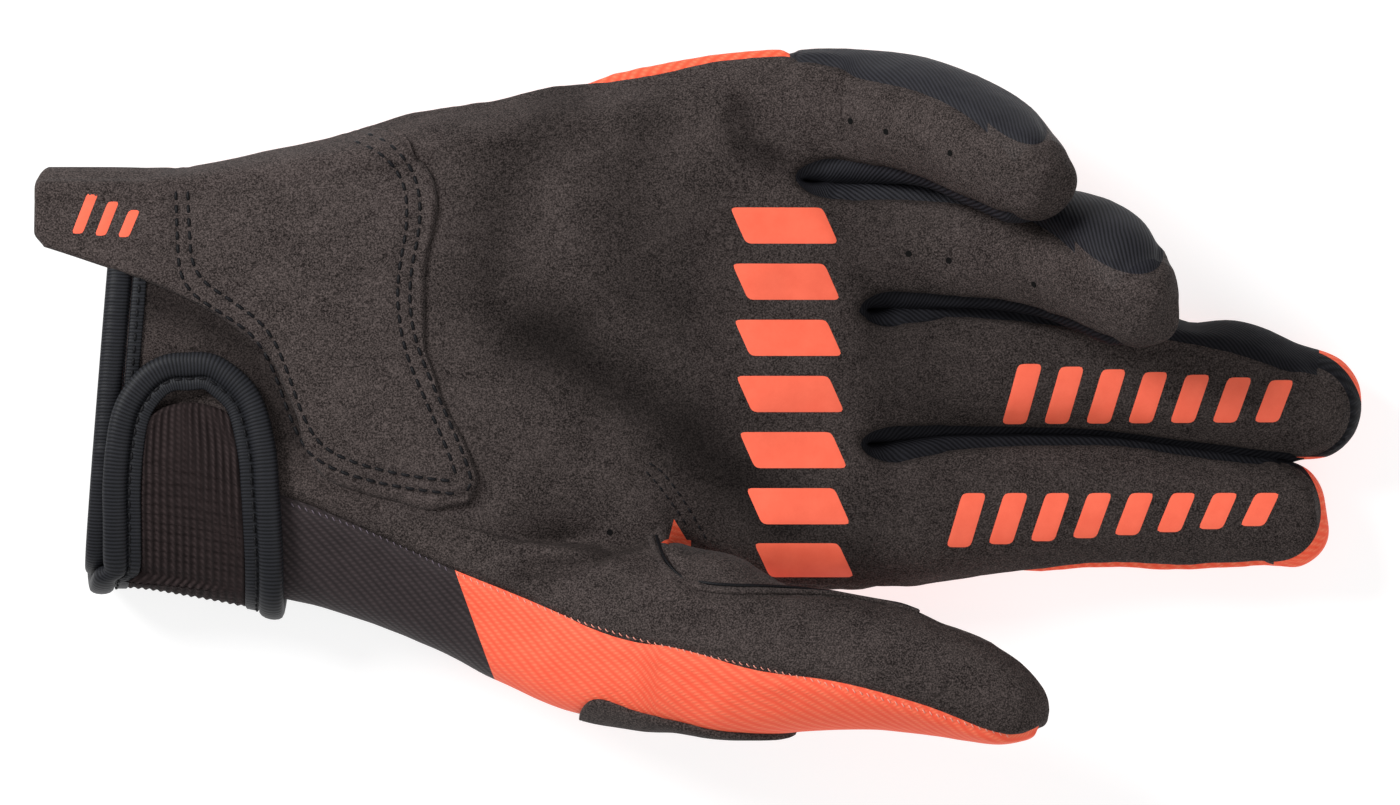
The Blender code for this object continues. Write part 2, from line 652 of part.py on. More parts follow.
def corner_normals(points, faces):
    normals = np.zeros_like(points)
    for face in faces:
        ring = points[list(face)]
        area = np.zeros(3)
        for k in range(len(face)):
            area += np.cross(ring[k], ring[(k + 1) % len(face)])
        for k in face:
            normals[k] += area
    return normals / np.maximum(np.linalg.norm(normals, axis=1)[:, None], 1e-9)


def soften(cage, rounds=3, strength=0.35, reach=13.0):
    # Evens out the cloth round the folds where fingers and thumb leave the hand
    lines = np.array([cage.points[k] for fold in cage.folds for k in fold])
    near = [i for i, p in enumerate(cage.points) if np.min(np.linalg.norm(lines - p, axis=1)) < reach]
    beside = {i: set() for i in range(len(cage.points))}
    for face in cage.faces:
        for k, corner in enumerate(face):
            beside[corner].add(face[(k + 1) % len(face)])
            beside[corner].add(face[k - 1])
    fixed = set(k for fold in cage.folds for k in fold)
    for _ in range(rounds):
        before = cage.points.copy()
        for i in near:
            if i not in fixed:
                cage.points[i] = mix(before[i], before[list(beside[i])].mean(axis=0), strength)
    cage.points[:, 2] = np.maximum(cage.points[:, 2], 0.0)


def rim_edges(faces):
    seen = {}
    for face in faces:
        for k, corner in enumerate(face):
            pair = (corner, face[(k + 1) % len(face)])
            seen[pair] = face
    return {pair: face for pair, face in seen.items() if (pair[1], pair[0]) not in seen}


def wall_room(cage):
    # Beside a fold the quads are small, and the wall is kept thinner than they are wide
    lines = np.array([cage.points[k] for fold in cage.folds for k in fold])
    from_fold = np.array([np.linalg.norm(lines - p, axis=1).min() for p in cage.points])
    room = np.full(len(cage.points), 1e3)
    for face in cage.faces:
        for k, corner in enumerate(face):
            length = np.linalg.norm(cage.points[corner] - cage.points[face[k - 1]])
            room[corner] = min(room[corner], length)
            room[face[k - 1]] = min(room[face[k - 1]], length)
    return np.minimum(room * WALL_ROOM, FOLD_WALL + FOLD_WALL_GROWTH * from_fold)


def cut_panel(cage, normals, label, wall, parts, material):
    # One piece of cloth: its quads, drawn in a little at the edges, with a wall inwards
    faces = [face for face, name in zip(cage.faces, cage.labels) if name == label]
    used = sorted({k for face in faces for k in face})
    number = {k: i for i, k in enumerate(used)}
    outer = cage.points[used].copy()
    edges = rim_edges(faces)
    pull = {k: [] for pair in edges for k in pair}
    for (a, b), face in edges.items():
        direction = cage.points[b] - cage.points[a]
        direction /= np.linalg.norm(direction)
        middle = cage.points[list(face)].mean(axis=0) - cage.points[a]
        inward = middle - direction * (middle @ direction)
        inward /= np.linalg.norm(inward)
        pull[a].append(inward)
        pull[b].append(inward)
    for k, found in pull.items():
        total = sum(found)
        size = np.linalg.norm(total) / len(found)
        step = total / len(found) / max(size, LEAST_PULL) ** 2
        outer[number[k]] += step * SEAM_GAP / 2
    inner = outer - normals[used] * np.minimum(wall, cage.room[used])[:, None]
    count = len(used)
    points = np.vstack([outer, inner])
    solid = [tuple(number[k] for k in face) for face in faces]
    solid += [tuple(number[k] + count for k in reversed(face)) for face in faces]
    for a, b in edges:
        solid.append((number[b], number[a], number[a] + count, number[b] + count))
    make_piece(parts, label, points, solid, material)


def make_piece(parts, name, points, faces, material):
    mesh = bpy.data.meshes.new(name)
    mesh.from_pydata([tuple(p * MM) for p in np.asarray(points)], [], faces)
    mesh.update()
    mesh.shade_smooth()
    mesh.set_sharp_from_angle(angle=math.radians(SHARP_ANGLE))
    mesh.materials.append(material)
    piece = bpy.data.objects.new(name, mesh)
    parts.objects.link(piece)
    return piece


class Skin:
    # Finds places on the finished outer surface for the pieces that are laid on it
    def __init__(self, cage, normals):
        self.points = cage.points
        self.faces = cage.faces
        self.normals = normals
        self.tree = BVHTree.FromPolygons([Vector(p) for p in cage.points], cage.faces)

    def lay(self, guess):
        place, _, index, _ = self.tree.find_nearest(Vector(guess))
        place = np.array(place)
        corners = list(self.faces[index])
        weights = 1 / (np.linalg.norm(self.points[corners] - place, axis=1) + CORNER_SOFTNESS)
        normal = (self.normals[corners] * weights[:, None]).sum(axis=0)
        return place, normal / np.linalg.norm(normal)

    def wrist(self, along, angle):
        # A place by its share along the hand and its angle round it, also past the cuff's edge
        x = along * HAND_LENGTH
        lateral = hand_point(x, angle)[1] / KNUCKLE_WIDTH
        first = cuff_x(lateral) + PIPING_WIDTH + 2 * SEAM_GAP
        place, normal = self.lay(hand_point(max(x, first), angle))
        if x < first:
            place[0] = x
            normal[0] = 0.0
            normal /= np.linalg.norm(normal)
        return place, normal


def smooth_line(points, count):
    # Evenly spaced points on a smooth line through a few chosen ones
    points = np.array(points, float)
    length = np.concatenate([[0], np.cumsum(np.linalg.norm(np.diff(points, axis=0), axis=1))])
    lines = [Curve(length, points[:, k]) for k in range(points.shape[1])]
    return np.array([[line(at) for line in lines] for at in np.linspace(0, length[-1], count)])


def grid_sheet(parts, name, places, normals, low, high, material):
    # A closed sheet from a grid of places on the skin, between two heights over it
    rows, columns = places.shape[:2]
    bottom = (places + normals * low).reshape(-1, 3)
    top = (places + normals * high).reshape(-1, 3)
    count = rows * columns

    def at(i, j):
        return i * columns + j

    faces = []
    for i in range(rows - 1):
        for j in range(columns - 1):
            quad = (at(i, j), at(i + 1, j), at(i + 1, j + 1), at(i, j + 1))
            faces.append(quad)
            faces.append(tuple(k + count for k in reversed(quad)))
    border = [at(i, 0) for i in range(rows)] + [at(rows - 1, j) for j in range(1, columns)]
    border += [at(i, columns - 1) for i in range(rows - 2, -1, -1)]
    border += [at(0, j) for j in range(columns - 2, 0, -1)]
    for a, b in zip(border, border[1:] + border[:1]):
        faces.append((b, a, a + count, b + count))
    points = np.vstack([bottom, top])
    first = np.cross(places[1, 0] - places[0, 0], places[0, 1] - places[0, 0])
    if first @ normals[0, 0] > 0:
        faces = [face[::-1] for face in faces]
    make_piece(parts, name, points, faces, material)


def swept(parts, name, centres, outs, sides, profile, material, closed=False):
    # A band or piping: a small outline carried along a line, ends filled unless it is a ring
    count = len(profile)
    points = []
    for centre, out, side in zip(centres, outs, sides):
        points += [centre + side * w + out * h for w, h in profile]
    points = np.array(points)
    points[:, 2] = np.maximum(points[:, 2], 0.0)
    faces = []
    turns = len(centres) if closed else len(centres) - 1
    for i in range(turns):
        a, b = i * count, (i + 1) % len(centres) * count
        for k in range(count):
            n = (k + 1) % count
            faces.append((a + k, a + n, b + n, b + k))
    if not closed:
        faces.append(tuple(range(count))[::-1])
        faces.append(tuple(range(len(points) - count, len(points))))
    volume = 0.0
    for face in faces:
        for k in range(1, len(face) - 1):
            volume += points[face[0]] @ np.cross(points[face[k]], points[face[k + 1]])
    if volume < 0:
        faces = [face[::-1] for face in faces]
    make_piece(parts, name, points, faces, material)


def over_palm(outline):
    # An outline of (along, lateral) shares as (along, angle), so that it can run round the side
    return [(along, hand_angle(max(along, 0.0) * HAND_LENGTH, lateral) * ANGLE_SCALE)
            for along, lateral in outline]


def heel_patch(parts, skin, material):
    across, round_count = PATCH_GRID
    lower = smooth_line(over_palm(PATCH_LOWER), across)
    upper = smooth_line(over_palm(PATCH_UPPER), across)
    left = smooth_line(over_palm(PATCH_LEFT), round_count)
    right = smooth_line(over_palm(PATCH_RIGHT), round_count)
    places = np.zeros((across, round_count, 3))
    normals = np.zeros_like(places)
    for i in range(across):
        u = i / (across - 1)
        for j in range(round_count):
            v = j / (round_count - 1)
            share = mix(lower[i], upper[i], v) + mix(left[j], right[j], u)
            share -= mix(mix(lower[0], lower[-1], u), mix(upper[0], upper[-1], u), v)
            places[i, j], normals[i, j] = skin.wrist(share[0], share[1] / ANGLE_SCALE)
    grid_sheet(parts, "heel_patch", places, normals, PATCH_CLEARANCE,
               PATCH_CLEARANCE + PATCH_WALL, material)


def flap_line(count):
    # The edging's middle line over the palm side and on round the thumb side of the wrist
    line = [(along, hand_angle(along * HAND_LENGTH, lateral)) for along, lateral in FLAP_LINE]
    line = [(FLAP_WRAP_ALONG[0], FLAP_WRAP), (FLAP_SIDE_ALONG[0], 0.0)] + line
    line += [(FLAP_SIDE_ALONG[1], 0.0), (FLAP_WRAP_ALONG[1], FLAP_WRAP)]
    found = smooth_line([(along, angle * ANGLE_SCALE) for along, angle in line], count)
    return [(along, angle / ANGLE_SCALE) for along, angle in found]


def flap_frames(skin, count):
    # Places along the edging's middle line with their outward and sideways directions
    line = flap_line(count)
    laid = [skin.wrist(along, angle) for along, angle in line]
    centres = np.array([place for place, _ in laid])
    outs = np.array([normal for _, normal in laid])
    sides = []
    for k in range(count):
        ahead = centres[min(k + 1, count - 1)] - centres[max(k - 1, 0)]
        side = np.cross(outs[k], ahead)
        sides.append(side / np.linalg.norm(side))
    return line, centres, outs, np.array(sides)


def flap_edging(parts, skin, material):
    _, centres, outs, sides = flap_frames(skin, FLAP_STATIONS)
    half = (PIPING_WIDTH + TAPE_WIDTH) / 2
    low = FLAP_LIFT
    top = low + FLAP_WALL
    crown = top + PIPING_RISE
    step = -half + TAPE_WIDTH
    profile = ((-half, low), (-half, top), (step, top), (step + PIPING_BEVEL, crown),
               (half - PIPING_BEVEL, crown), (half, top - EDGE_BEVEL), (half, low + EDGE_BEVEL))
    swept(parts, "flap_binding", centres, outs, sides, profile, material)


def wrist_flap(parts, skin, material):
    # A ladder of rows between the two legs of the edging, up to its arch
    across, down = FLAP_GRID
    _, centres, _, sides = flap_frames(skin, FLAP_LINE_POINTS)
    inner = centres - sides * ((PIPING_WIDTH + TAPE_WIDTH) / 2 + 2 * SEAM_GAP)
    places = np.zeros((across, down, 3))
    normals = np.zeros_like(places)
    last = len(inner) - 1
    for j in range(down):
        share = j / (down - 1)
        k = int(round(FLAP_ARCH * last * share ** FLAP_ROW_POWER))
        left, right = inner[k], inner[last - k]
        rise = (inner[k + 1] + inner[last - k - 1]) - (left + right)
        rise /= np.linalg.norm(rise)
        for i in range(across):
            u = i / (across - 1)
            guess = mix(left, right, u) + rise * 4 * u * (1 - u) * FLAP_CREST * share ** FLAP_CREST_POWER
            places[i, j], normals[i, j] = skin.lay(guess)
    grid_sheet(parts, "wrist_flap", places, normals, FLAP_LIFT, FLAP_LIFT + FLAP_WALL, material)


def cuff_binding(parts, skin, material):
    centres, outs = [], []
    for k in range(CUFF_STATIONS):
        angle = 360 * k / CUFF_STATIONS
        guess = hand_point(0.0, angle)
        x = cuff_x(guess[1] / KNUCKLE_WIDTH)
        place, normal = skin.wrist(x / HAND_LENGTH, angle)
        centres.append(place)
        outs.append(normal)
    sides = [np.array([1.0, 0.0, 0.0])] * CUFF_STATIONS
    profile = ((CUFF_HEM_BEVEL, -SUEDE_WALL), (0.0, -CUFF_HEM), (0.0, 0.0), (CUFF_BEVEL, CUFF_RISE),
               (PIPING_WIDTH - CUFF_BEVEL, CUFF_RISE), (PIPING_WIDTH, 0.0), (PIPING_WIDTH, -CUFF_HEM),
               (PIPING_WIDTH - CUFF_HEM_BEVEL, -SUEDE_WALL))
    swept(parts, "cuff_binding", np.array(centres), np.array(outs), sides, profile, material, True)


def thumb_patch(parts, skin, material):
    across, down = THUMB_PATCH_GRID
    places = np.zeros((across, down, 3))
    normals = np.zeros_like(places)
    for i in range(across):
        reach = mix(THUMB_PATCH_REACH[0], THUMB_PATCH_REACH[1], i / (across - 1))
        narrow = THUMB_PATCH_TAPER * abs(2 * i / (across - 1) - 1) ** THUMB_PATCH_POWER
        for j in range(down):
            angle = mix(THUMB_PATCH_ANGLES[0] - narrow, THUMB_PATCH_ANGLES[1] + narrow, j / (down - 1))
            places[i, j], normals[i, j] = skin.lay(finger_point("thumb", reach, angle))
    grid_sheet(parts, "thumb_patch", places, normals, PATCH_CLEARANCE,
               PATCH_CLEARANCE + PATCH_WALL, material)


def make_material(name, roughness):
    material = bpy.data.materials.new(name)
    material.use_nodes = True
    shader = material.node_tree.nodes["Principled BSDF"]
    shader.inputs["Base Color"].default_value = (*COLOURS[name], 1.0)
    shader.inputs["Roughness"].default_value = roughness
    shader.inputs["Metallic"].default_value = 0.0
    material.diffuse_color = (*COLOURS[name], 1.0)
    return material


def seat_at_origin(parts):
    # The origin is the middle of the glove's footprint, on the surface that it lies on
    corners = np.array([v.co for piece in parts.objects for v in piece.data.vertices])
    low, high = corners.min(axis=0), corners.max(axis=0)
    shift = Vector((-(low[0] + high[0]) / 2, -(low[1] + high[1]) / 2, -low[2]))
    for piece in parts.objects:
        for vertex in piece.data.vertices:
            vertex.co += shift


def main():
    for old in list(bpy.data.objects):
        bpy.data.objects.remove(old, do_unlink=True)
    parts = bpy.data.collections.new("motocross_glove")
    bpy.context.scene.collection.children.link(parts)
    palm_suede = make_material("palm_suede", 0.95)
    thumb_suede = make_material("thumb_suede", 0.95)
    heel_suede = make_material("heel_suede", 0.93)
    orange = make_material("orange_textile", 0.75)
    twill = make_material("black_twill", 0.6)
    knit = make_material("knit", 0.9)
    binding = make_material("binding", 0.65)
    cage = build_cage()
    soften(cage)
    normals = corner_normals(cage.points, cage.faces)
    cage.room = wall_room(cage)
    pieces = (
        ("palm_panel", SUEDE_WALL, palm_suede),
        ("back_panel", KNIT_WALL, orange),
        ("thumb_front", SUEDE_WALL, thumb_suede),
        ("thumb_side", KNIT_WALL, orange),
        ("thumb_inner", SUEDE_WALL, palm_suede),
        ("fourchette_ring_pinky", FOURCHETTE_WALL, twill),
        ("fourchette_middle_ring", FOURCHETTE_WALL, twill),
        ("fourchette_index_middle", FOURCHETTE_WALL, twill),
        ("pinky_side_panel", FOURCHETTE_WALL, twill),
    )
    for name, wall, material in pieces:
        cut_panel(cage, normals, name, wall, parts, material)
    skin = Skin(cage, normals)
    heel_patch(parts, skin, heel_suede)
    wrist_flap(parts, skin, knit)
    flap_edging(parts, skin, binding)
    cuff_binding(parts, skin, binding)
    thumb_patch(parts, skin, thumb_suede)
    seat_at_origin(parts)


main()
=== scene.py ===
# Motocross glove for the right hand, palm up on a pale floor, seen from straight above.
# The cloth surface is drawn in millimetres from tables, smoothed, creased and cut into its pieces,
# then patches, bindings, prints and stitches are laid on it.
import math

import bpy
import numpy as np
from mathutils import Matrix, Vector, geometry, kdtree, noise
from mathutils.bvhtree import BVHTree


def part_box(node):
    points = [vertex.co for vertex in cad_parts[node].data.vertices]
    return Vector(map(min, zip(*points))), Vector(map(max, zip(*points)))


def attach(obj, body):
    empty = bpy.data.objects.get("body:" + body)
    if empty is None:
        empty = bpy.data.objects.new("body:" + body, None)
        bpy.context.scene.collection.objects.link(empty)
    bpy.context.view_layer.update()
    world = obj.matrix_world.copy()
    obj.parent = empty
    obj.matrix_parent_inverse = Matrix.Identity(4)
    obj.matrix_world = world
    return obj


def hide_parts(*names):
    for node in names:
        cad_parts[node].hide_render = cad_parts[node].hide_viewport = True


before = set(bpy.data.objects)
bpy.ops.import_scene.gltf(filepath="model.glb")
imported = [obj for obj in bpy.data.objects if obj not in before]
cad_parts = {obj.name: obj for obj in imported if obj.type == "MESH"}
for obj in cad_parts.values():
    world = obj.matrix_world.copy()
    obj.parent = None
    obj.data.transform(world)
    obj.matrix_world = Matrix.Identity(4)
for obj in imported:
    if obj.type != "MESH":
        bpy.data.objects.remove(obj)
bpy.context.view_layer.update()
scene = bpy.context.scene
mm = 0.001

# The photograph's frame: where the hand's own zero lies in it, and millimetres for a pixel
photo = dict(width=1400, height=805, zeroX=90.0, zeroY=320.5, pixel=0.18)


def fromPhoto(px, py):
    return (px - photo["zeroX"]) * photo["pixel"], (photo["zeroY"] - py) * photo["pixel"]


def traced(line):
    return [fromPhoto(*spot) for spot in line]


def turned(degrees):  # cosine and sine
    return math.cos(math.radians(degrees)), math.sin(math.radians(degrees))


def unit(rows):
    return rows / np.maximum(np.linalg.norm(rows, axis=-1, keepdims=True), 1e-9)


def bell(away, width):
    return np.exp(-(away / width) ** 2)


def mileage(line):  # length of a line up to each of its points
    return np.concatenate([[0], np.cumsum(np.linalg.norm(np.diff(line, axis=0), axis=1))])


class Value:  # a shader socket that takes part in sums
    def __init__(self, tree, socket):
        self.tree, self.socket = tree, socket

    def maths(self, operation, first, second=0.0):
        node = self.tree.nodes.new("ShaderNodeMath")
        node.operation = operation
        for place, item in enumerate((first, second)):
            if isinstance(item, Value):
                self.tree.links.new(item.socket, node.inputs[place])
            else:
                node.inputs[place].default_value = item
        return Value(self.tree, node.outputs[0])

    def __add__(self, other):
        return self.maths("ADD", self, other)

    def __sub__(self, other):
        return self.maths("SUBTRACT", self, other)

    def __rsub__(self, other):
        return self.maths("SUBTRACT", other, self)

    def __mul__(self, other):
        return self.maths("MULTIPLY", self, other)

    def __gt__(self, other):
        return self.maths("GREATER_THAN", self, other)

    def __lt__(self, other):
        return self.maths("LESS_THAN", self, other)

    __radd__ = __add__
    __rmul__ = __mul__

    def wave(self, pitch):  # ribs from 0 to 1, one for each pitch
        return self.maths("SINE", self * (2 * math.pi / pitch)) * 0.5 + 0.5

    def limit(self):
        return self.maths("MINIMUM", self.maths("MAXIMUM", self, 0.0), 1.0)


class Finish:
    def __init__(self, name, **fixed):
        self.material = bpy.data.materials.new(name)
        self.material.use_nodes = True
        self.tree = self.material.node_tree
        self.shader = self.tree.nodes["Principled BSDF"]
        for socket, value in fixed.items():
            self.shader.inputs[socket.replace("_", " ")].default_value = value

    def node(self, kind, settings=None, inputs=None, output=0):
        made = self.tree.nodes.new("ShaderNode" + kind)
        for key, value in (settings or {}).items():
            setattr(made, key, value)
        for key, value in (inputs or {}).items():
            if isinstance(value, Value):
                self.tree.links.new(value.socket, made.inputs[key])
            else:
                made.inputs[key].default_value = value
        return Value(self.tree, made.outputs[output])

    def place(self):
        return self.node("TexCoord", output="Object")

    def cloth(self):  # millimetres along and across the piece
        spot = self.node("UVMap", dict(uv_map="cloth"))
        return (self.node("SeparateXYZ", None, {"Vector": spot}, k) for k in (0, 1))

    def speck(self, size, detail=2.0, stretch=(1, 1, 1)):  # noise with grains of this size in millimetres
        spot = self.node("VectorMath", dict(operation="MULTIPLY"), {0: self.place(), 1: stretch})
        grain = {"Vector": spot, "Scale": 1000 / size, "Detail": detail, "Roughness": 0.6}
        return self.node("TexNoise", None, grain)

    def blend(self, share, first, second):
        def colour(c):
            return c if isinstance(c, Value) else (*c, 1)
        return self.node("Mix", dict(data_type="RGBA"), {0: share, 6: colour(first), 7: colour(second)}, 2)

    def spread(self, value, low, high):  # stretches a noise so that low gives 0 and high gives 1
        return ((value - low) * (1 / (high - low))).limit()

    def close(self, colour, roughness, height, depth):
        links = self.tree.links
        links.new(colour.socket, self.shader.inputs["Base Color"])
        if isinstance(roughness, Value):
            links.new(roughness.socket, self.shader.inputs["Roughness"])
        else:
            self.shader.inputs["Roughness"].default_value = roughness
        bump = self.node("Bump", None, {"Height": height, "Distance": depth * mm, "Strength": 1.0})
        links.new(bump.socket, self.shader.inputs["Normal"])
        return self.material


def suedeColour(f, tone="suede"):  # salt and pepper grain, darkened by painted shade from a point attribute; also gives its height
    brushed = f.speck(7.0, 3.0, (0.7, 1.0, 1.0))
    clumps = f.speck(1.2, 3.0)
    hairs = f.speck(0.30, 1.0)
    share = f.spread(brushed, 0.30, 0.70) * 0.14 + f.spread(clumps, 0.30, 0.70) * 0.16
    share = share + f.spread(hairs, 0.38, 0.80) * 0.70
    # Painted shade from a point attribute darkens the grain towards near black
    paintedShade = f.node("Attribute", dict(attribute_name="paintedShade"), output=2)
    colour = f.blend(paintedShade, f.blend(share.limit(), *tones[tone]), (0.003, 0.0022, 0.002))
    return colour, hairs * 0.7 + clumps * 0.5


def suede(name, tone):
    f = Finish(name, Sheen_Weight=0.04, Sheen_Roughness=0.45, Specular_IOR_Level=0.08)
    colour, height = suedeColour(f, tone)
    return f.close(colour, 0.96, height, 0.16)


def ribShare(f, pitch, angle, dash=0.0, dashAngle=60.0, spots=0.25):
    # Woven ribs at an angle to the cloth, made of dashes where a dash pitch is given
    u, v = f.cloth()

    def along(degrees):
        return u * turned(degrees)[0] + v * turned(degrees)[1]
    rib = along(angle).wave(pitch)
    if dash:
        rib = rib * (0.40 + 0.60 * along(dashAngle).wave(dash))
    patchy = f.speck(4.0, 3.0)
    fine = f.speck(0.35, 1.0)
    share = (rib * (1 - spots) + f.spread(patchy, 0.3, 0.7) * spots * 0.6 + fine * spots * 0.4).limit()
    return share, rib + fine * 0.3


def ribbed(name, tone, pitch, angle, dash=0.0, roughness=0.6, depth=0.12, spots=0.25, shine=0.15):
    f = Finish(name, Specular_IOR_Level=shine)
    share, height = ribShare(f, pitch, angle, dash, spots=spots)
    return f.close(f.blend(share, *tones[tone]), roughness, height, depth)


def spotOf(f):  # the place in millimetres in the hand's own frame, x, y and height
    spot = f.place()
    return [f.node("SeparateXYZ", None, {"Vector": spot}, k) * (1 / mm) - float(seat[k]) for k in range(3)]


def inside(x, y, oval):  # 1 inside an oval given in pixels of the photograph, with its turn in degrees
    px, py, wide, tall, turn = (*oval, 0)[:5]
    cx, cy = fromPhoto(px, py)
    c, s = (part / photo["pixel"] for part in turned(turn))
    p, q = (x - cx) * (c / wide) - (y - cy) * (s / wide), (x - cx) * (s / tall) + (y - cy) * (c / tall)
    return (p * p + q * q) < 1.0


def pastLine(x, y, start, end):  # 1 to the right of a line given in pixels
    (ax, ay), (bx, by) = fromPhoto(*start), fromPhoto(*end)
    return ((x - ax) * (by - ay) - (y - ay) * (bx - ax)) > 0.0


def tipped(f, colour, suedeLook, orangeLook, shadedBlackLook):
    # Paints the ends of the two straight fingers
    x, y, z = spotOf(f)
    for tip in tips:
        startX, lowY = fromPhoto(tip["suede"][0], tip["side"][1])
        _, highY = fromPhoto(0, tip["side"][0])
        here = (x > startX) * (y > lowY) * (y < highY) * (z > tipHeight)
        # The fingertips' black border takes the twill's tone darkened as painted shade
        border = inside(x, y, tip["black"]) * (y > fromPhoto(0, tip["lowest"])[1])
        look = f.blend(inside(x, y, tip["suede"]), f.blend(border, orangeLook, shadedBlackLook), suedeLook)
        colour = f.blend(here, colour, look)
    return colour, x, y, z


# The shape of the hand in millimetres: x along the fingers, y towards the little finger, z up
handLength = 139.0  # cuff edge to the foot of the middle finger
knuckleWidth = 97.4  # across the four fingers at their feet
handDepth = 31.0  # palm to back at the thick of the hand
flapWall = 1.8
pipingWidth = 4.4
tapeWidth = 2.5
pipingRise = 0.84  # piping above the tape beside it
seamGap = 0.3

frontColumns = 4
sideColumns = 4
handRoundness = 2.6
fingerRoundness = 2.15
tipRoundness = 2.3
backReach = 1.12  # the back's section would reach this far down, and the floor flattens it
closingRows = (0.45, 0.75, 0.93)  # shares of the way through the rounded tip

# Hand outline. Lengths along are shares of handLength, lateral ones shares of knuckleWidth
# from the middle of the knuckles, little finger side positive, and depths shares of handDepth.
# "full" is the edge on the thumb side with the thumb, "solo" without it.
handColumns = "along full solo ulnar depth middle ulnarSeam"
handTable = (
    (-0.02, -0.452, -0.400, 0.273, 0.87, 0.44, 194),
    (0.142, -0.482, -0.420, 0.285, 0.88, 0.44, 194),
    (0.272, -0.522, -0.430, 0.320, 0.93, 0.45, 194),
    (0.402, -0.579, -0.450, 0.376, 0.99, 0.46, 193),
    (0.531, -0.665, -0.470, 0.406, 1.03, 0.47, 190),
    (0.635, -0.737, -0.430, 0.437, 1.02, 0.47, 184),
    (0.777, -0.755, -0.425, 0.481, 0.98, 0.48, 174),
    (0.868, -0.760, -0.484, 0.498, 0.94, 0.48, 172),
    (1.030, -0.765, -0.503, 0.503, 0.90, 0.48, 172),
)
# Lines that run the length of the hand: the edge of the thumb's piece over the palm and under
# the hand, and the edge of the suede and of the textile under it
lineColumns = "along thumbLine thumbUnder suedeEdge underEdge"
lineTable = (
    (0.000, -0.147, -0.190, -0.249, -0.330),
    (0.256, -0.221, -0.250, -0.323, -0.370),
    (0.402, -0.317, -0.330, -0.415, -0.430),
    (0.531, -0.415, -0.410, -0.494, -0.500),
    (0.609, -0.435, -0.440, -0.535, -0.560),
    (0.725, -0.398, -0.460, -0.588, -0.610),
    (0.777, -0.398, -0.470, -0.609, -0.620),
)
# Where the feet of the fingers lie: (along, lateral) of the outer edge, the three crotches
# and the edge on the thumb side
crotches = ((0.907, 0.493), (0.916, 0.260), (1.000, 0.018), (1.000, -0.226), (1.030, -0.500))
cuffSlant = (0.035, -0.010)  # cuff edge at the little finger side and at the thumb side
cuffSpan = (0.3, -0.5)  # the lateral places that these two belong to
cuffLines = (0.28, 0.18, 0.07, -0.04, -0.15)  # where the strips of the fingers start at the cuff
stripStarts = (0.176, 0.068, -0.040)  # and the three lines between them
handRows = (0.0, 0.085, 0.17, 0.26, 0.35, 0.43, 0.51, 0.58, 0.645)
webRow = 0.705
knuckleRows = (0.735, 0.785, 0.84, 0.895, 0.95, 1.0)
thumbPieceStart = 0.51  # row share where the thumb's own suede begins

# Fingers: root (along, lateral), length, width and depth in millimetres, and the share of the
# length where the rounded tip begins
fingers = {
    "pinky": dict(root=(0.911, 0.380), length=47.4, width=21.6, depth=22.5, closing=0.87),
    "ring": dict(root=(0.958, 0.139), length=60.8, width=21.4, depth=22.5, closing=0.87),
    "middle": dict(root=(1.000, -0.105), length=90.2, width=23.6, depth=23.0, closing=0.90),
    "index": dict(root=(1.018, -0.363), length=81.2, width=24.2, depth=23.5, closing=0.90),
    "thumb": dict(root=(0.732, -0.570), length=70.6, width=29.0, depth=24.5, closing=0.86),
}
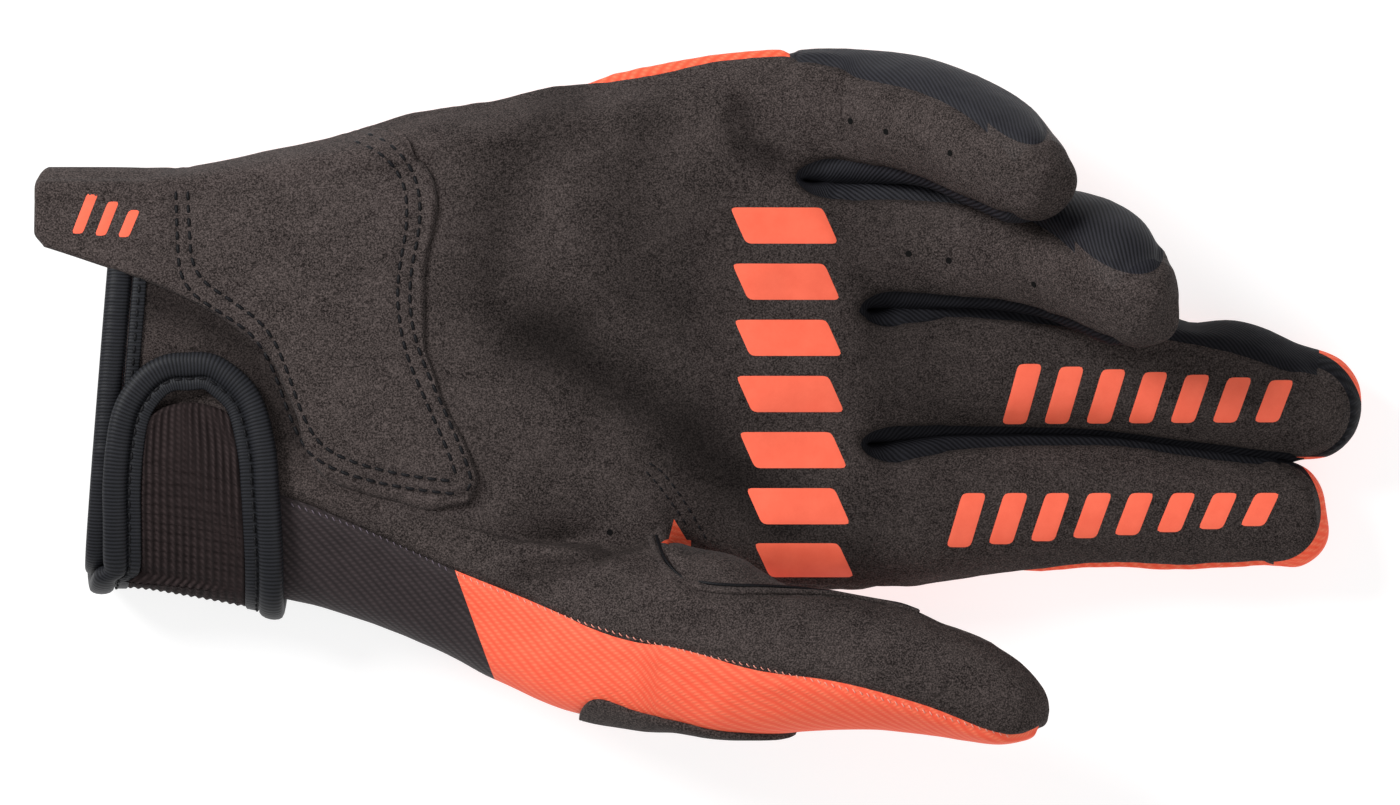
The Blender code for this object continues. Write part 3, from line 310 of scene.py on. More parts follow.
# Stations along a finger: reach is a share of its length, sway the centre's side step as a share
# of its length, wide and deep shares of its width and depth, height the centre's height as a
# share of handDepth, and the two angles place the edges of the suede (90 faces the palm side,
# 180 the little finger side, 0 the thumb side).
stationColumns = "reach sway wide deep height ulnarSeam radialSeam"
stations = {
    "pinky": (
        (-0.30, 0.000, 0.98, 1.15, 0.47, 176, 30),
        (0.00, -0.012, 1.08, 1.12, 0.47, 158, 40),
        (0.17, 0.004, 1.10, 1.04, 0.51, 140, 43),
        (0.31, 0.004, 1.07, 1.00, 0.58, 128, 37),
        (0.45, -0.010, 1.01, 0.98, 0.78, 124, 29),
        (0.60, -0.058, 0.96, 0.95, 0.97, 126, 24),
        (0.74, -0.130, 0.92, 0.92, 1.18, 127, 28),
        (0.86, -0.205, 0.86, 0.86, 1.37, 120, 30),
        (1.00, -0.300, 0.78, 0.76, 1.60, 100, 32),
    ),
    "ring": (
        (-0.30, 0.000, 1.00, 1.15, 0.47, 152, 30),
        (0.00, 0.000, 1.03, 1.12, 0.47, 147, 33),
        (0.20, 0.004, 1.03, 1.04, 0.50, 140, 28),
        (0.40, 0.000, 1.00, 0.96, 0.59, 136, 26),
        (0.59, -0.014, 0.98, 0.93, 0.77, 130, 20),
        (0.72, -0.042, 1.01, 0.92, 0.97, 118, 22),
        (0.85, -0.102, 0.97, 0.90, 1.21, 104, 28),
        (1.00, -0.225, 0.88, 0.80, 1.56, 98, 32),
    ),
    "middle": (
        (-0.30, 0.000, 1.00, 1.12, 0.46, 148, 26),
        (0.00, 0.004, 1.00, 1.08, 0.45, 144, 29),
        (0.20, 0.019, 1.01, 1.02, 0.39, 143, 22),
        (0.48, 0.015, 1.00, 0.98, 0.35, 125, 17),
        (0.68, -0.005, 1.05, 0.96, 0.34, 120, 16),
        (0.83, -0.041, 0.91, 0.90, 0.34, 118, 20),
        (0.91, -0.054, 0.85, 0.84, 0.34, 120, 17),
        (1.00, -0.066, 0.78, 0.78, 0.34, 112, 40),
    ),
    "index": (
        (-0.30, 0.000, 1.00, 1.10, 0.46, 158, -8),
        (0.00, 0.001, 1.08, 1.06, 0.45, 146, -8),
        (0.19, 0.022, 1.05, 1.02, 0.39, 149, -5),
        (0.45, 0.034, 0.98, 0.95, 0.35, 154, 8),
        (0.72, 0.016, 0.87, 0.90, 0.33, 160, 13),
        (0.90, 0.012, 0.76, 0.84, 0.33, 156, 16),
        (1.00, 0.012, 0.72, 0.78, 0.33, 134, 38),
    ),
    "thumb": (
        (-0.60, 0.214, 1.10, 1.20, 0.56, 150, 84),
        (-0.30, 0.074, 1.20, 1.18, 0.70, 152, 91),
        (0.00, 0.000, 1.20, 1.10, 0.89, 150, 84),
        (0.09, -0.016, 1.14, 1.04, 0.95, 121, 85),
        (0.16, -0.040, 1.07, 1.00, 0.99, 127, 85),
        (0.27, -0.075, 0.99, 0.96, 1.03, 148, 84),
        (0.45, -0.090, 0.86, 0.92, 1.05, 174, 79),
        (0.60, -0.102, 0.79, 0.88, 1.06, 178, 69),
        (0.78, -0.142, 0.70, 0.82, 1.06, 176, 56),
        (0.90, -0.186, 0.58, 0.74, 1.06, 170, 44),
        (1.00, -0.216, 0.50, 0.66, 1.06, 165, 40),
    ),
}
fingerRows = {
    "pinky": (0.07, 0.14, 0.24, 0.36, 0.49, 0.62, 0.75, 0.87),
    "ring": (0.08, 0.16, 0.26, 0.38, 0.50, 0.63, 0.76, 0.87),
    "middle": (0.035, 0.09, 0.17, 0.28, 0.40, 0.52, 0.64, 0.76, 0.84, 0.90),
    "index": (0.04, 0.10, 0.18, 0.30, 0.42, 0.54, 0.66, 0.78, 0.85, 0.90),
    "thumb": (0.07, 0.13, 0.19, 0.25, 0.32, 0.43, 0.54, 0.65, 0.76, 0.86),
}
suedeEnd = 0.97  # where the suede ends on the tips of the two straight fingers
backSeam = 38  # the back piece's edges lie this far under the sides, in degrees
sidePieceEnd = {"pinky": 0.92, "ring": 0.92, "middle": 0.85, "index": 0.86, "thumb": 0.77}
thumbUnderSeam = -60  # and the thumb's suede and textile meet here under it
slantEnd = 0.45  # reach where a finger's rows no longer follow the slant of its crotches
reachStep = 0.02
fingerBlend = (0.80, 0.55)  # row share where the fingers start to show, and how much at the end
thumbBlend = (0.30, 1.0)  # the same for the thumb
webSeam = 48.0  # angle of the suede's edge beside the web
sideSeam = -8.0  # and where it has come down to the side of the first finger
sideSeamRow = 0.755
curledTip = 0.74  # from here on the suede goes right round the two curled fingers

# Hollows and folds in the palm: along, lateral, long, short (shares of handLength), turn in
# degrees and depth as a share of handDepth
folds = (
    (0.62, -0.020, 0.26, 0.150, 20, 0.090),
    (0.540, 0.165, 0.16, 0.040, 80, 0.040),
    (0.710, -0.130, 0.12, 0.045, 140, 0.045),
    (0.845, 0.360, 0.07, 0.020, 100, 0.045),
    (0.640, -0.430, 0.10, 0.022, 12, 0.060),
)

# Heel patch with its pull tab: four edges in shares (along, lateral)
patchLower = (
    (-0.058, 0.135), (0.016, 0.101), (0.065, 0.077), (0.137, 0.032), (0.202, -0.027),
    (0.243, -0.088), (0.268, -0.170), (0.280, -0.235), (0.300, -0.282), (0.345, -0.314),
    (0.429, -0.343), (0.490, -0.340),
)
patchRight = (
    (0.490, -0.340), (0.504, -0.299), (0.492, -0.241), (0.456, -0.138), (0.435, -0.040),
    (0.435, 0.071), (0.451, 0.213), (0.442, 0.270), (0.405, 0.318),
)
patchUpper = ((-0.060, 0.275), (-0.040, 0.283), (0.026, 0.284), (0.130, 0.290), (0.250, 0.322),
               (0.340, 0.352), (0.405, 0.318))
patchLeft = ((-0.058, 0.135), (-0.071, 0.162), (-0.071, 0.215), (-0.070, 0.255), (-0.060, 0.275))
angleScale = 0.0035  # share of the hand's length that one degree round the wrist stands for

# Wrist flap: middle line of its edging as (along, lateral) shares over the palm side, then
# how far it runs on round the thumb side, as an angle
flapLine = (
    (0.043, -0.323), (0.046, -0.240), (0.056, -0.165), (0.082, -0.115), (0.125, -0.095),
    (0.171, -0.106), (0.203, -0.150), (0.217, -0.220), (0.225, -0.323),
)
flapWrap = -34  # where the flap ends, under the thumb side of the cuff
flapWrapAlong = (0.015, 0.231)  # its two edges there
flapSideAlong = (0.022, 0.230)  # and at the side of the wrist
flapLift = 1.4  # over the cloth, so that the flap clears the cuff's binding
flapArch = 0.42  # share of the edging's length where the flap's top row lies
flapCrest = 2.2  # how far that row bulges into the arch, in millimetres
flapCrestPower = 4  # and how quickly the rows below it straighten
flapRowPower = 0.85


class Curve:
    # Smooth line through a table's values, straight on beyond its ends
    def __init__(self, places, values):
        self.x = np.asarray(places, float)
        self.y = np.asarray(values, float)
        rise = np.diff(self.y) / np.diff(self.x)
        slope = np.concatenate([[rise[0]], (rise[1:] + rise[:-1]) / 2, [rise[-1]]])
        flat = np.concatenate([[False], rise[1:] * rise[:-1] <= 0, [False]])
        self.slope = np.where(flat, 0.0, slope)

    def __call__(self, at):
        k = int(np.clip(np.searchsorted(self.x, at) - 1, 0, len(self.x) - 2))
        width = self.x[k + 1] - self.x[k]
        t = (at - self.x[k]) / width
        if t < 0:
            return self.y[0] + self.slope[0] * t * width
        if t > 1:
            return self.y[-1] + self.slope[-1] * (t - 1) * width
        ease = t * t * (3 - 2 * t)
        bend = self.slope[k] * t * (1 - t) ** 2 - self.slope[k + 1] * t * t * (1 - t)
        return float(self.y[k] * (1 - ease) + self.y[k + 1] * ease + bend * width)


def curves(columns, rows):
    names = columns.split()
    table = np.array(rows, float)
    return {name: Curve(table[:, 0], table[:, k]) for k, name in enumerate(names)}


handCurves = curves(handColumns, handTable)
lineCurves = curves(lineColumns, lineTable)
stationCurves = {name: curves(stationColumns, rows) for name, rows in stations.items()}
four = ("pinky", "ring", "middle", "index")


def mix(a, b, share):
    return a * (1 - share) + b * share


def ease(low, high, at):
    t = min(max((at - low) / (high - low), 0.0), 1.0)
    return t * t * (3 - 2 * t)


def rounded(angle, roundness):
    # Point of a rounded unit section: (towards the little finger, towards the palm side)
    c, s = turned(angle)
    power = 2.0 / roundness
    return -math.copysign(abs(c) ** power, c), math.copysign(abs(s) ** power, s)


def foldDepth(x, y):
    total = 0.0
    for along, lateral, long, short, turn, depth in folds:
        dx = x - along * handLength
        dy = y - lateral * knuckleWidth
        c, s = turned(turn)
        p = (dx * c - dy * s) / (long * handLength)
        q = (dx * s + dy * c) / (short * handLength)
        total += depth * handDepth * math.exp(-(p * p + q * q) * 2)
    return total


def handSection(x, edge):
    at = x / handLength
    low = handCurves[edge](at) * knuckleWidth
    high = handCurves["ulnar"](at) * knuckleWidth
    depth = handCurves["depth"](at) * handDepth
    middle = handCurves["middle"](at) * handDepth
    return (low + high) / 2, (high - low) / 2, middle, depth - middle


def handPoint(x, angle, edge="full"):
    centre, half, middle, over = handSection(x, edge)
    side, up = rounded(angle, handRoundness)
    y = centre + half * side
    if up > 0:
        z = middle + over * up - foldDepth(x, y) * up
    else:
        z = middle * (1 + backReach * up)
    return np.array([x, y, max(z, 0.0)])


def handAngle(x, lateral, edge="full"):
    # Angle at which the palm side of the section passes over this lateral place
    centre, half, _, _ = handSection(x, edge)
    t = min(max((lateral * knuckleWidth - centre) / half, -0.999), 0.999)
    return math.degrees(math.acos(-math.copysign(abs(t) ** (handRoundness / 2), t)))


def fingerCentre(name, reach):
    finger = fingers[name]
    station = stationCurves[name]
    x = finger["root"][0] * handLength + reach * finger["length"]
    y = finger["root"][1] * knuckleWidth + station["sway"](reach) * finger["length"]
    return np.array([x, y, station["height"](reach) * handDepth])


def fingerSlant(name):
    # Difference along the hand between the two crotches beside a finger
    if name == "thumb":
        return 0.0
    k = four.index(name)
    return (crotches[k + 1][0] - crotches[k][0]) * handLength


def fingerPoint(name, reach, angle):
    finger = fingers[name]
    station = stationCurves[name]
    centre = fingerCentre(name, reach)
    along = fingerCentre(name, reach + reachStep) - fingerCentre(name, reach - reachStep)
    along = unit(along)
    side = unit(np.array([0.0, 1.0, 0.0]) - along * along[1])
    up = np.cross(along, side)
    closing = finger["closing"]
    shrink = 1.0
    if reach > closing:
        into = (reach - closing) / (1 - closing)
        shrink = max(1 - into ** tipRoundness, 0.0) ** (1 / tipRoundness)
    a, b = rounded(angle, fingerRoundness)
    half = finger["width"] / 2 * station["wide"](reach) * shrink
    deep = finger["depth"] / 2 * station["deep"](reach) * shrink
    slant = fingerSlant(name) * -a / 2 * (1 - ease(0.0, slantEnd, reach))
    point = centre + side * half * a + up * deep * b + along * slant
    point[2] = max(point[2], 0.0)
    return point


def seamAngles(name, reach):
    station = stationCurves[name]
    return station["ulnarSeam"](reach), station["radialSeam"](reach)


def cuffX(lateral):
    # The cuff's edge runs slanted across the wrist
    share = (lateral - cuffSpan[1]) / (cuffSpan[0] - cuffSpan[1])
    return mix(cuffSlant[1], cuffSlant[0], share) * handLength


def rowX(row, strip):
    # Place along the hand of a row at a strip line, from the slanted cuff to the slanted crotches
    lateral = np.interp(strip, range(5), cuffLines)
    start = cuffX(lateral) + pipingWidth + seamGap
    end = np.interp(strip, range(5), [c[0] for c in crotches]) * handLength
    return start + (end - start) * row


class Cage:  # the whole outer surface: points, quads, their piece and their place on the cloth
    def __init__(self):
        self.points, self.along = [], []
        self.faces, self.labels, self.cloth = [], [], []
        self.folds = []

    def add(self, point, along=None):
        self.points.append(np.array(point, float))
        self.along.append(point[0] if along is None else along)
        return len(self.points) - 1

    def addFace(self, label, corners, cloth=None):
        self.faces.append(tuple(corners))
        self.labels.append(label)
        self.cloth.append(cloth or [tuple(self.points[k][:2]) for k in corners])

    def across(self, line):  # millimetres round the section, from the middle of the line
        steps = [np.linalg.norm(self.points[b] - self.points[a]) for a, b in zip(line, line[1:])]
        places = np.concatenate([[0], np.cumsum(steps)])
        return places - places[len(places) // 2]

    def span(self, first, second, labelOf):
        for part in ("over", "radial", "under", "ulnar"):
            a, b = first[part], second[part]
            va, vb = self.across(a), self.across(b)
            for k in range(len(a) - 1):
                corners = (a[k], a[k + 1], b[k + 1], b[k])
                cloth = list(zip((self.along[c] for c in corners), (va[k], va[k + 1], vb[k + 1], vb[k])))
                if part in ("under", "ulnar"):
                    corners, cloth = corners[::-1], cloth[::-1]
                self.addFace(labelOf(part, k // frontColumns), corners, cloth)

    def ring(self, over, radial, under, ulnar, along=None):
        top = [self.add(p, along) for p in over]
        low = [self.add(p, along) for p in under]
        right = [top[-1]] + [self.add(p, along) for p in radial] + [low[-1]]
        left = [top[0]] + [self.add(p, along) for p in ulnar] + [low[0]]
        return dict(over=top, radial=right, under=low, ulnar=left)

    def fold(self, top, low):  # line of the cloth between two fingers, palm side to back
        a, b = self.points[top], self.points[low]
        middle = [a + (b - a) * k / sideColumns for k in range(1, sideColumns)]
        line = [top] + [self.add(p) for p in middle] + [low]
        self.folds.append(line)
        return line


def soloSeam(row):
    # The suede's edge on the thumb side comes down from the web to the side of the first finger
    return mix(webSeam, sideSeam, ease(webRow, sideSeamRow, row))


def steps(a, b, count):
    return [a + (b - a) * k / count for k in range(1, count)]


def handRing(cage, row):
    withThumb = row <= webRow
    edge = "full" if withThumb else "solo"
    names = four + (("thumb",) if withThumb else ())
    strips = len(names)
    columns = strips * frontColumns
    fingerShare = ease(fingerBlend[0], 1.0, row) * fingerBlend[1]
    thumbShare = ease(thumbBlend[0], webRow, row) * thumbBlend[1]
    soloShare = ease(thumbBlend[0], webRow, row) if withThumb else 1.0

    def stripLines(under):
        # Lateral shares of the lines between the strips at this row
        foot = [c[1] for c in crotches]
        x = rowX(row, 2.0) / handLength
        inner = [mix(start, end, row) for start, end in zip(stripStarts, foot[1:4])]
        if not withThumb:
            return [None] + inner + [None]
        line = lineCurves["thumbUnder" if under else "thumbLine"](x)
        return [None] + inner + [line, None]

    def linePoints(under):
        # All the points of the palm side or of the back, from the little finger side on
        lines = stripLines(under)
        x0 = rowX(row, 0.0)
        angle0 = handCurves["ulnarSeam"](x0 / handLength)
        if under:
            angle0 = 180 + backSeam
        centre, half, _, _ = handSection(x0, edge)
        lines[0] = (centre + half * rounded(angle0, handRoundness)[0]) / knuckleWidth
        x1 = rowX(row, min(strips, 4))
        if withThumb:
            lines[-1] = lineCurves["underEdge" if under else "suedeEdge"](x1 / handLength)
        else:
            angle1 = -backSeam if under else soloSeam(row)
            centre, half, _, _ = handSection(x1, edge)
            lines[-1] = (centre + half * rounded(angle1, handRoundness)[0]) / knuckleWidth
        found = []
        for k in range(columns + 1):
            strip = k / frontColumns
            x = rowX(row, min(strip, 4))
            lateral = np.interp(strip, range(strips + 1), lines)
            angle = handAngle(x, lateral, edge)
            if k == 0 and not under:
                angle = angle0
            found.append(place(x, -angle if under else angle, lateral, strip, under))
        return found

    def drawn(x, name, step, under):
        finger = fingers[name]
        reach = (x - finger["root"][0] * handLength) / finger["length"]
        ulnar, radial = seamAngles(name, reach)
        if under:
            ulnar, radial = -180 + backSeam, -backSeam
            if name == "thumb":
                radial = thumbUnderSeam
        point = fingerPoint(name, reach, mix(ulnar, radial, step))
        point[0] = mix(x, point[0], thumbShare) if name == "thumb" else x
        return point

    def place(x, angle, lateral, strip, under):
        point = handPoint(x, angle, edge)
        if soloShare > 0 and withThumb and strip <= 4:
            solo = handPoint(x, handAngle(x, lateral, "solo") * (-1 if under else 1), "solo")
            if strip == 0:
                solo = point
            point = mix(point, solo, soloShare * ease(1.0, 4.0, strip))
        k = min(int(strip), strips - 1)
        step = strip - k
        beside = [(k, step)]
        if step == 0 and k > 0:
            beside.append((k - 1, 1.0))
        drawnPoints = []
        for which, inside in beside:
            share = thumbShare if names[which] == "thumb" else fingerShare
            drawnPoints.append(mix(point, drawn(x, names[which], inside, under), share))
        return sum(drawnPoints) / len(drawnPoints)

    over = linePoints(False)
    under = linePoints(True)
    x0, x1 = rowX(row, 0.0), rowX(row, 4.0)
    ulnarAngles = steps(handCurves["ulnarSeam"](x0 / handLength), 180 + backSeam, sideColumns)
    ulnar = [handPoint(x0, angle, edge) for angle in ulnarAngles]
    if fingerShare > 0:
        reach = (x0 - fingers["pinky"]["root"][0] * handLength) / fingers["pinky"]["length"]
        start = seamAngles("pinky", reach)[0]
        for k, angle in enumerate(steps(start, 180 + backSeam, sideColumns)):
            target = fingerPoint("pinky", reach, angle)
            target[0] = x0
            ulnar[k] = mix(ulnar[k], target, fingerShare)
    radial = []
    if withThumb:
        top = handAngle(x1, lineCurves["suedeEdge"](x1 / handLength), edge)
        low = -handAngle(x1, lineCurves["underEdge"](x1 / handLength), edge)
        name, share = "thumb", thumbShare
        lowFinger = thumbUnderSeam
    else:
        top, low = soloSeam(row), -backSeam
        name, share = "index", fingerShare
        lowFinger = -backSeam
    finger = fingers[name]
    reach = (x1 - finger["root"][0] * handLength) / finger["length"]
    fromAngle = seamAngles(name, reach)[1]
    for angle, own in zip(steps(top, low, sideColumns), steps(fromAngle, lowFinger, sideColumns)):
        point = handPoint(x1, angle, edge)
        target = fingerPoint(name, reach, own)
        target[0] = mix(x1, target[0], share) if withThumb else x1
        radial.append(mix(point, target, share))
    return cage.ring(over, radial, under, ulnar)


def fingerRing(cage, name, reach):
    ulnar, radial = seamAngles(name, reach)
    underUlnar, underRadial = 180 + backSeam, -backSeam
    if name == "thumb":
        underRadial = thumbUnderSeam

    def points(angles):
        return [fingerPoint(name, reach, a) for a in angles]

    def whole(a, b, count):
        return [a] + steps(a, b, count) + [b]

    return cage.ring(
        points(whole(ulnar, radial, frontColumns)),
        points(steps(radial, underRadial, sideColumns)),
        points(whole(underUlnar, 360 + underRadial, frontColumns)),
        points(steps(ulnar, underUlnar, sideColumns)),
        fingers[name]["root"][0] * handLength + reach * fingers[name]["length"],
    )


def sliceRing(ring, first, last, radial, ulnar):
    a, b = first * frontColumns, last * frontColumns + 1
    return dict(over=ring["over"][a:b], under=ring["under"][a:b], radial=radial, ulnar=ulnar)


def fingerLabels(name, reach):
    # Which piece each side of a finger belongs to at this reach
    k = four.index(name) if name in four else 0
    webs = ("fourchette_ring_pinky", "fourchette_middle_ring", "fourchette_index_middle")
    sideLeft = "pinky_side_panel" if name == "pinky" else webs[k - 1]
    sideRight = "back_panel" if name == "index" else webs[min(k, 2)]
    if name == "thumb":
        labels = dict(over="thumb_front", radial="thumb_side", under="thumb_side", ulnar="thumb_inner")
        tip = dict(over="thumb_front", radial="thumb_side", under="thumb_side", ulnar="thumb_front")
    else:
        labels = dict(over="palm_panel", radial=sideRight, under="back_panel", ulnar=sideLeft)
        cap = "palm_panel" if name in ("pinky", "ring") else "back_panel"
        tip = dict(over=cap, radial=cap, under=cap, ulnar=cap)
        if reach < suedeEnd - 1e-6:
            tip["over"] = "palm_panel"
    if name in ("pinky", "ring") and reach >= curledTip:
        labels["under"] = "palm_panel"
    return tip if reach >= sidePieceEnd[name] - 1e-6 else labels


def growFinger(cage, name, base):
    closing = fingers[name]["closing"]
    reaches = list(fingerRows[name]) + [closing + (1 - closing) * share for share in closingRows]
    previous, start = base, -1.0
    for reach in reaches:
        ring = fingerRing(cage, name, reach)
        labels = fingerLabels(name, start)
        cage.span(previous, ring, lambda part, strip, labels=labels: labels[part])
        previous, start = ring, reach
    # The last small ring is closed with a fan round its middle
    ring = previous["over"] + previous["radial"][1:] + previous["under"][-2::-1] + previous["ulnar"][-2:0:-1]
    middle = cage.add(fingerCentre(name, 0.987 if name in ("pinky", "ring") else 1.0))
    for a, b in zip(ring, ring[1:] + ring[:1]):
        cage.addFace(fingerLabels(name, 1.0)["over"], (a, b, middle))


def buildCage():
    cage = Cage()
    rings = [(row, handRing(cage, row)) for row in handRows + (webRow,)]
    cage.first = rings[0][1]

    def wristLabel(row):
        def label(part, strip):
            if part == "over":
                return "thumb_front" if strip == 4 and row >= thumbPieceStart - 1e-6 else "palm_panel"
            if part == "radial":
                return "thumb_side"
            if part == "under":
                return "thumb_side" if strip == 4 else "back_panel"
            return "back_panel"
        return label

    for (row, first), (_, second) in zip(rings, rings[1:]):
        cage.span(first, second, wristLabel(row))
    web = rings[-1][1]
    corner = 4 * frontColumns
    webFold = cage.fold(web["over"][corner], web["under"][corner])
    thumbBase = sliceRing(web, 4, 5, web["radial"], webFold)
    previous = sliceRing(web, 0, 4, webFold, web["ulnar"])
    for row in knuckleRows:
        ring = handRing(cage, row)
        cage.span(previous, ring, lambda part, strip: "palm_panel" if part == "over" else "back_panel")
        previous = ring
    folds = []
    for k in range(1, 4):
        corner = k * frontColumns
        folds.append(cage.fold(previous["over"][corner], previous["under"][corner]))
    left = [previous["ulnar"]] + folds
    right = folds + [previous["radial"]]
    for k, name in enumerate(four):
        growFinger(cage, name, sliceRing(previous, k, k + 1, right[k], left[k]))
    growFinger(cage, "thumb", thumbBase)
    cage.points = np.array(cage.points)
    return cage


def soften(cage, rounds=3, strength=0.35, reach=13.0):
    # Evens out the cloth round the folds where fingers and thumb leave the hand
    lines = np.array([cage.points[k] for fold in cage.folds for k in fold])
    near = [i for i, p in enumerate(cage.points) if np.min(np.linalg.norm(lines - p, axis=1)) < reach]
    beside = {i: set() for i in range(len(cage.points))}
    for face in cage.faces:
        for k, corner in enumerate(face):
            beside[corner].add(face[(k + 1) % len(face)])
            beside[corner].add(face[k - 1])
    fixed = set(k for fold in cage.folds for k in fold)
    for _ in range(rounds):
        before = cage.points.copy()
        for i in near:
            if i not in fixed:
                cage.points[i] = mix(before[i], before[list(beside[i])].mean(axis=0), strength)
    cage.points[:, 2] = np.maximum(cage.points[:, 2], 0.0)


def smoothLine(points, count):
    # Evenly spaced points on a smooth line through a few chosen ones
    points = np.array(points, float)
    length = mileage(points)
    lines = [Curve(length, points[:, k]) for k in range(points.shape[1])]
    return np.array([[line(at) for line in lines] for at in np.linspace(0, length[-1], count)])


def overPalm(outline):
    # An outline of (along, lateral) shares as (along, angle), so that it can run round the side
    return [(along, handAngle(max(along, 0.0) * handLength, lateral) * angleScale)
            for along, lateral in outline]


def flapPath(count):
    # The edging's middle line over the palm side and on round the thumb side of the wrist
    line = [(along, handAngle(along * handLength, lateral)) for along, lateral in flapLine]
    line = [(flapWrapAlong[0], flapWrap), (flapSideAlong[0], 0.0)] + line
    line += [(flapSideAlong[1], 0.0), (flapWrapAlong[1], flapWrap)]
    found = smoothLine([(along, angle * angleScale) for along, angle in line], count)
    return [(along, angle / angleScale) for along, angle in found]


surface = dict(
    levels=3,  # each square of the cage becomes 8 x 8
    corrections=3,  # rounds that bring the smooth surface back through the cage's corners
    grooveDepth=0.62, grooveWidth=0.95,  # a sewn seam, in millimetres
    shoulder=0.22, shoulderAt=2.2, shoulderWidth=1.6,  # and the swelling beside it
    pucker=0.16, puckerReach=5.0, puckerSize=2.2,
    sway=0.42, swaySize=17.0, ripple=0.13, rippleSize=5.0,  # slow and quick unevenness of the cloth
    foldCalm=6.0, foldLeast=0.25,  # all this fades towards the folds between the fingers
    cuffCalm=4.0,  # and towards the cuff
    sideBulge=1.3, bulgeFade=3.0,  # how far the strips between the fingers swell into the gap
    bulgeEnd=1110, bulgeEndFade=12.0,  # but not on the middle finger's free end, from this pixel on
    tuck=1.3, tuckFade=7.0,  # how far the back piece's edge is drawn in where the suede hides it
    tuckSide=10.0, tuckEdge=0.8,
    roundDepth=0.45, roundWidth=0.7,  # the groove round a fingertip's suede and at the start of a gap
    wall=1.1, sideWall=0.9, foldWall=0.3, foldWallGrowth=0.12,  # walls, thinner in the folds
)
# Stretches of the back piece's edge that the suede hides: which side, and where in the photograph
tucks = ((1, 0, 612), (-1, 860, 1040))
pieceNames = ("palm_panel", "back_panel", "thumb_front", "thumb_side", "thumb_inner", "fourchette_ring_pinky",
              "fourchette_middle_ring", "fourchette_index_middle", "pinky_side_panel")

# Creases: a line in pixels of the photograph, how deep and how wide, in millimetres
creases = (
    (((518, 157), (502, 200), (496, 243), (505, 285), (528, 323)), 1.6, 6.0),
    (((590, 340), (640, 385), (700, 436), (735, 480)), 1.7, 6.5),
    (((741, 100), (739, 125), (748, 148), (776, 165)), 1.8, 2.4),
    (((530, 568), (570, 566), (594, 556), (615, 542), (650, 533)), 1.7, 1.6),
    (((650, 100), (628, 180), (640, 280)), 0.9, 9.0),
    (((700, 250), (712, 330), (706, 420)), 0.9, 6.0),
    (((372, 488), (430, 503), (480, 500), (500, 470)), 1.0, 3.0),
    (((640, 480), (668, 505), (690, 540)), 0.9, 1.8),
    (((560, 470), (600, 455), (645, 462)), 0.9, 5.0),
)

# Painted shade in the suede's colour: darker in its hollows and creases, in the strip between the heel patch
# and the flap, and across the knuckles and the two straight fingers. A line in pixels, its width in pixels
# and how much darker it gets
shades = (
    (((560, 110), (515, 170), (497, 219), (491, 303), (523, 345), (565, 335)), 34, 0.34),
    (((650, 124), (618, 177), (628, 282), (660, 313)), 34, 0.34),
    (((540, 330), (607, 377), (675, 420), (744, 482), (776, 503)), 38, 0.62),
    (((692, 461), (745, 500), (797, 535), (850, 560)), 42, 0.38),
    (((744, 103), (749, 145), (786, 166)), 13, 0.50),
    (((700, 240), (720, 400)), 60, 0.30),
    (((860, 240), (890, 330), (900, 380)), 50, 0.25),
    (((880, 370), (1000, 378), (1290, 400)), 62, 0.24),
    (((890, 500), (1000, 512), (1270, 515)), 55, 0.24),
    (((120, 285), (190, 312), (245, 345), (296, 430)), 28, 0.62),
    (((455, 590), (560, 568), (600, 552), (648, 534)), 10, 0.25),
)
# The two straight fingers end in a round of suede, a black border and the orange of the back: middle
# and half sizes of the two rounds in pixels, and how far down the black border shows
tips = (
    dict(suede=(1305, 411, 46, 45), black=(1300, 425, 66, 76), lowest=800, side=(300, 457)),
    dict(suede=(1275, 512, 47, 50), black=(1262, 515, 60, 68), lowest=505, side=(457, 600)),
)
# The two curled fingers' black side strips end in a round, and suede goes on from there
ends = (dict(round=(1002, 108, 52, 24, 42), start=985), dict(round=(1109, 232, 58, 33, 36), start=1072))
fullness = (  # where the skin stands out further or less: line in pixels, millimetres, reach
    (((60, 150), (180, 150), (300, 130), (430, 100), (530, 85)), 1.6, 9.0),
    (((500, 680), (560, 710), (640, 722), (700, 730)), 1.4, 8.0),
    (((945, 618), (985, 636), (1015, 650), (1040, 685)), -1.0, 4.0),
    (((1068, 128), (1078, 150)), -1.8, 4.5),
    (((1172, 235), (1192, 262), (1196, 300)), -2.4, 5.5),
    (((1300, 555), (1330, 545)), 1.5, 4.0),
    (((676, 550), (676, 550.001)), 1.0, 3.5),  # a single spot, between thumb and palm
)
plainSeams = (("thumb_inner", "thumb_front", 985), ("palm_panel", "pinky_side_panel", 985),
              ("palm_panel", "fourchette_ring_pinky", 1080))  # seams that leave no groove from this pixel on
tipHeight = 9.0  # the rounds show above this height, in millimetres
slots = ((843, 179, 47, 15), (905, 311, 46, 12), (908, 444, 47, 13))  # black starts of the gaps, painted in the twill's tone darkened as painted shade


def distanceToLine(points, line, inPixels=True):
    best = np.full(len(points), 1e9)
    line = traced(line) if inPixels else line
    for a, b in zip(line, line[1:]):
        a, b = np.array(a), np.array(b)
        along = np.clip(((points - a) @ (b - a)) / ((b - a) @ (b - a)), 0, 1)
        best = np.minimum(best, np.linalg.norm(points - a - along[:, None] * (b - a), axis=1))
    return best


def noiseAt(points, size, shift=0.0):
    return np.array([noise.noise(Vector(p) / size + Vector((shift, shift, shift))) for p in points])


def nearest(points, others):
    tree = kdtree.KDTree(len(others))
    for k, p in enumerate(others):
        tree.insert(p, k)
    tree.balance()
    return np.array([tree.find(p)[2] for p in points])


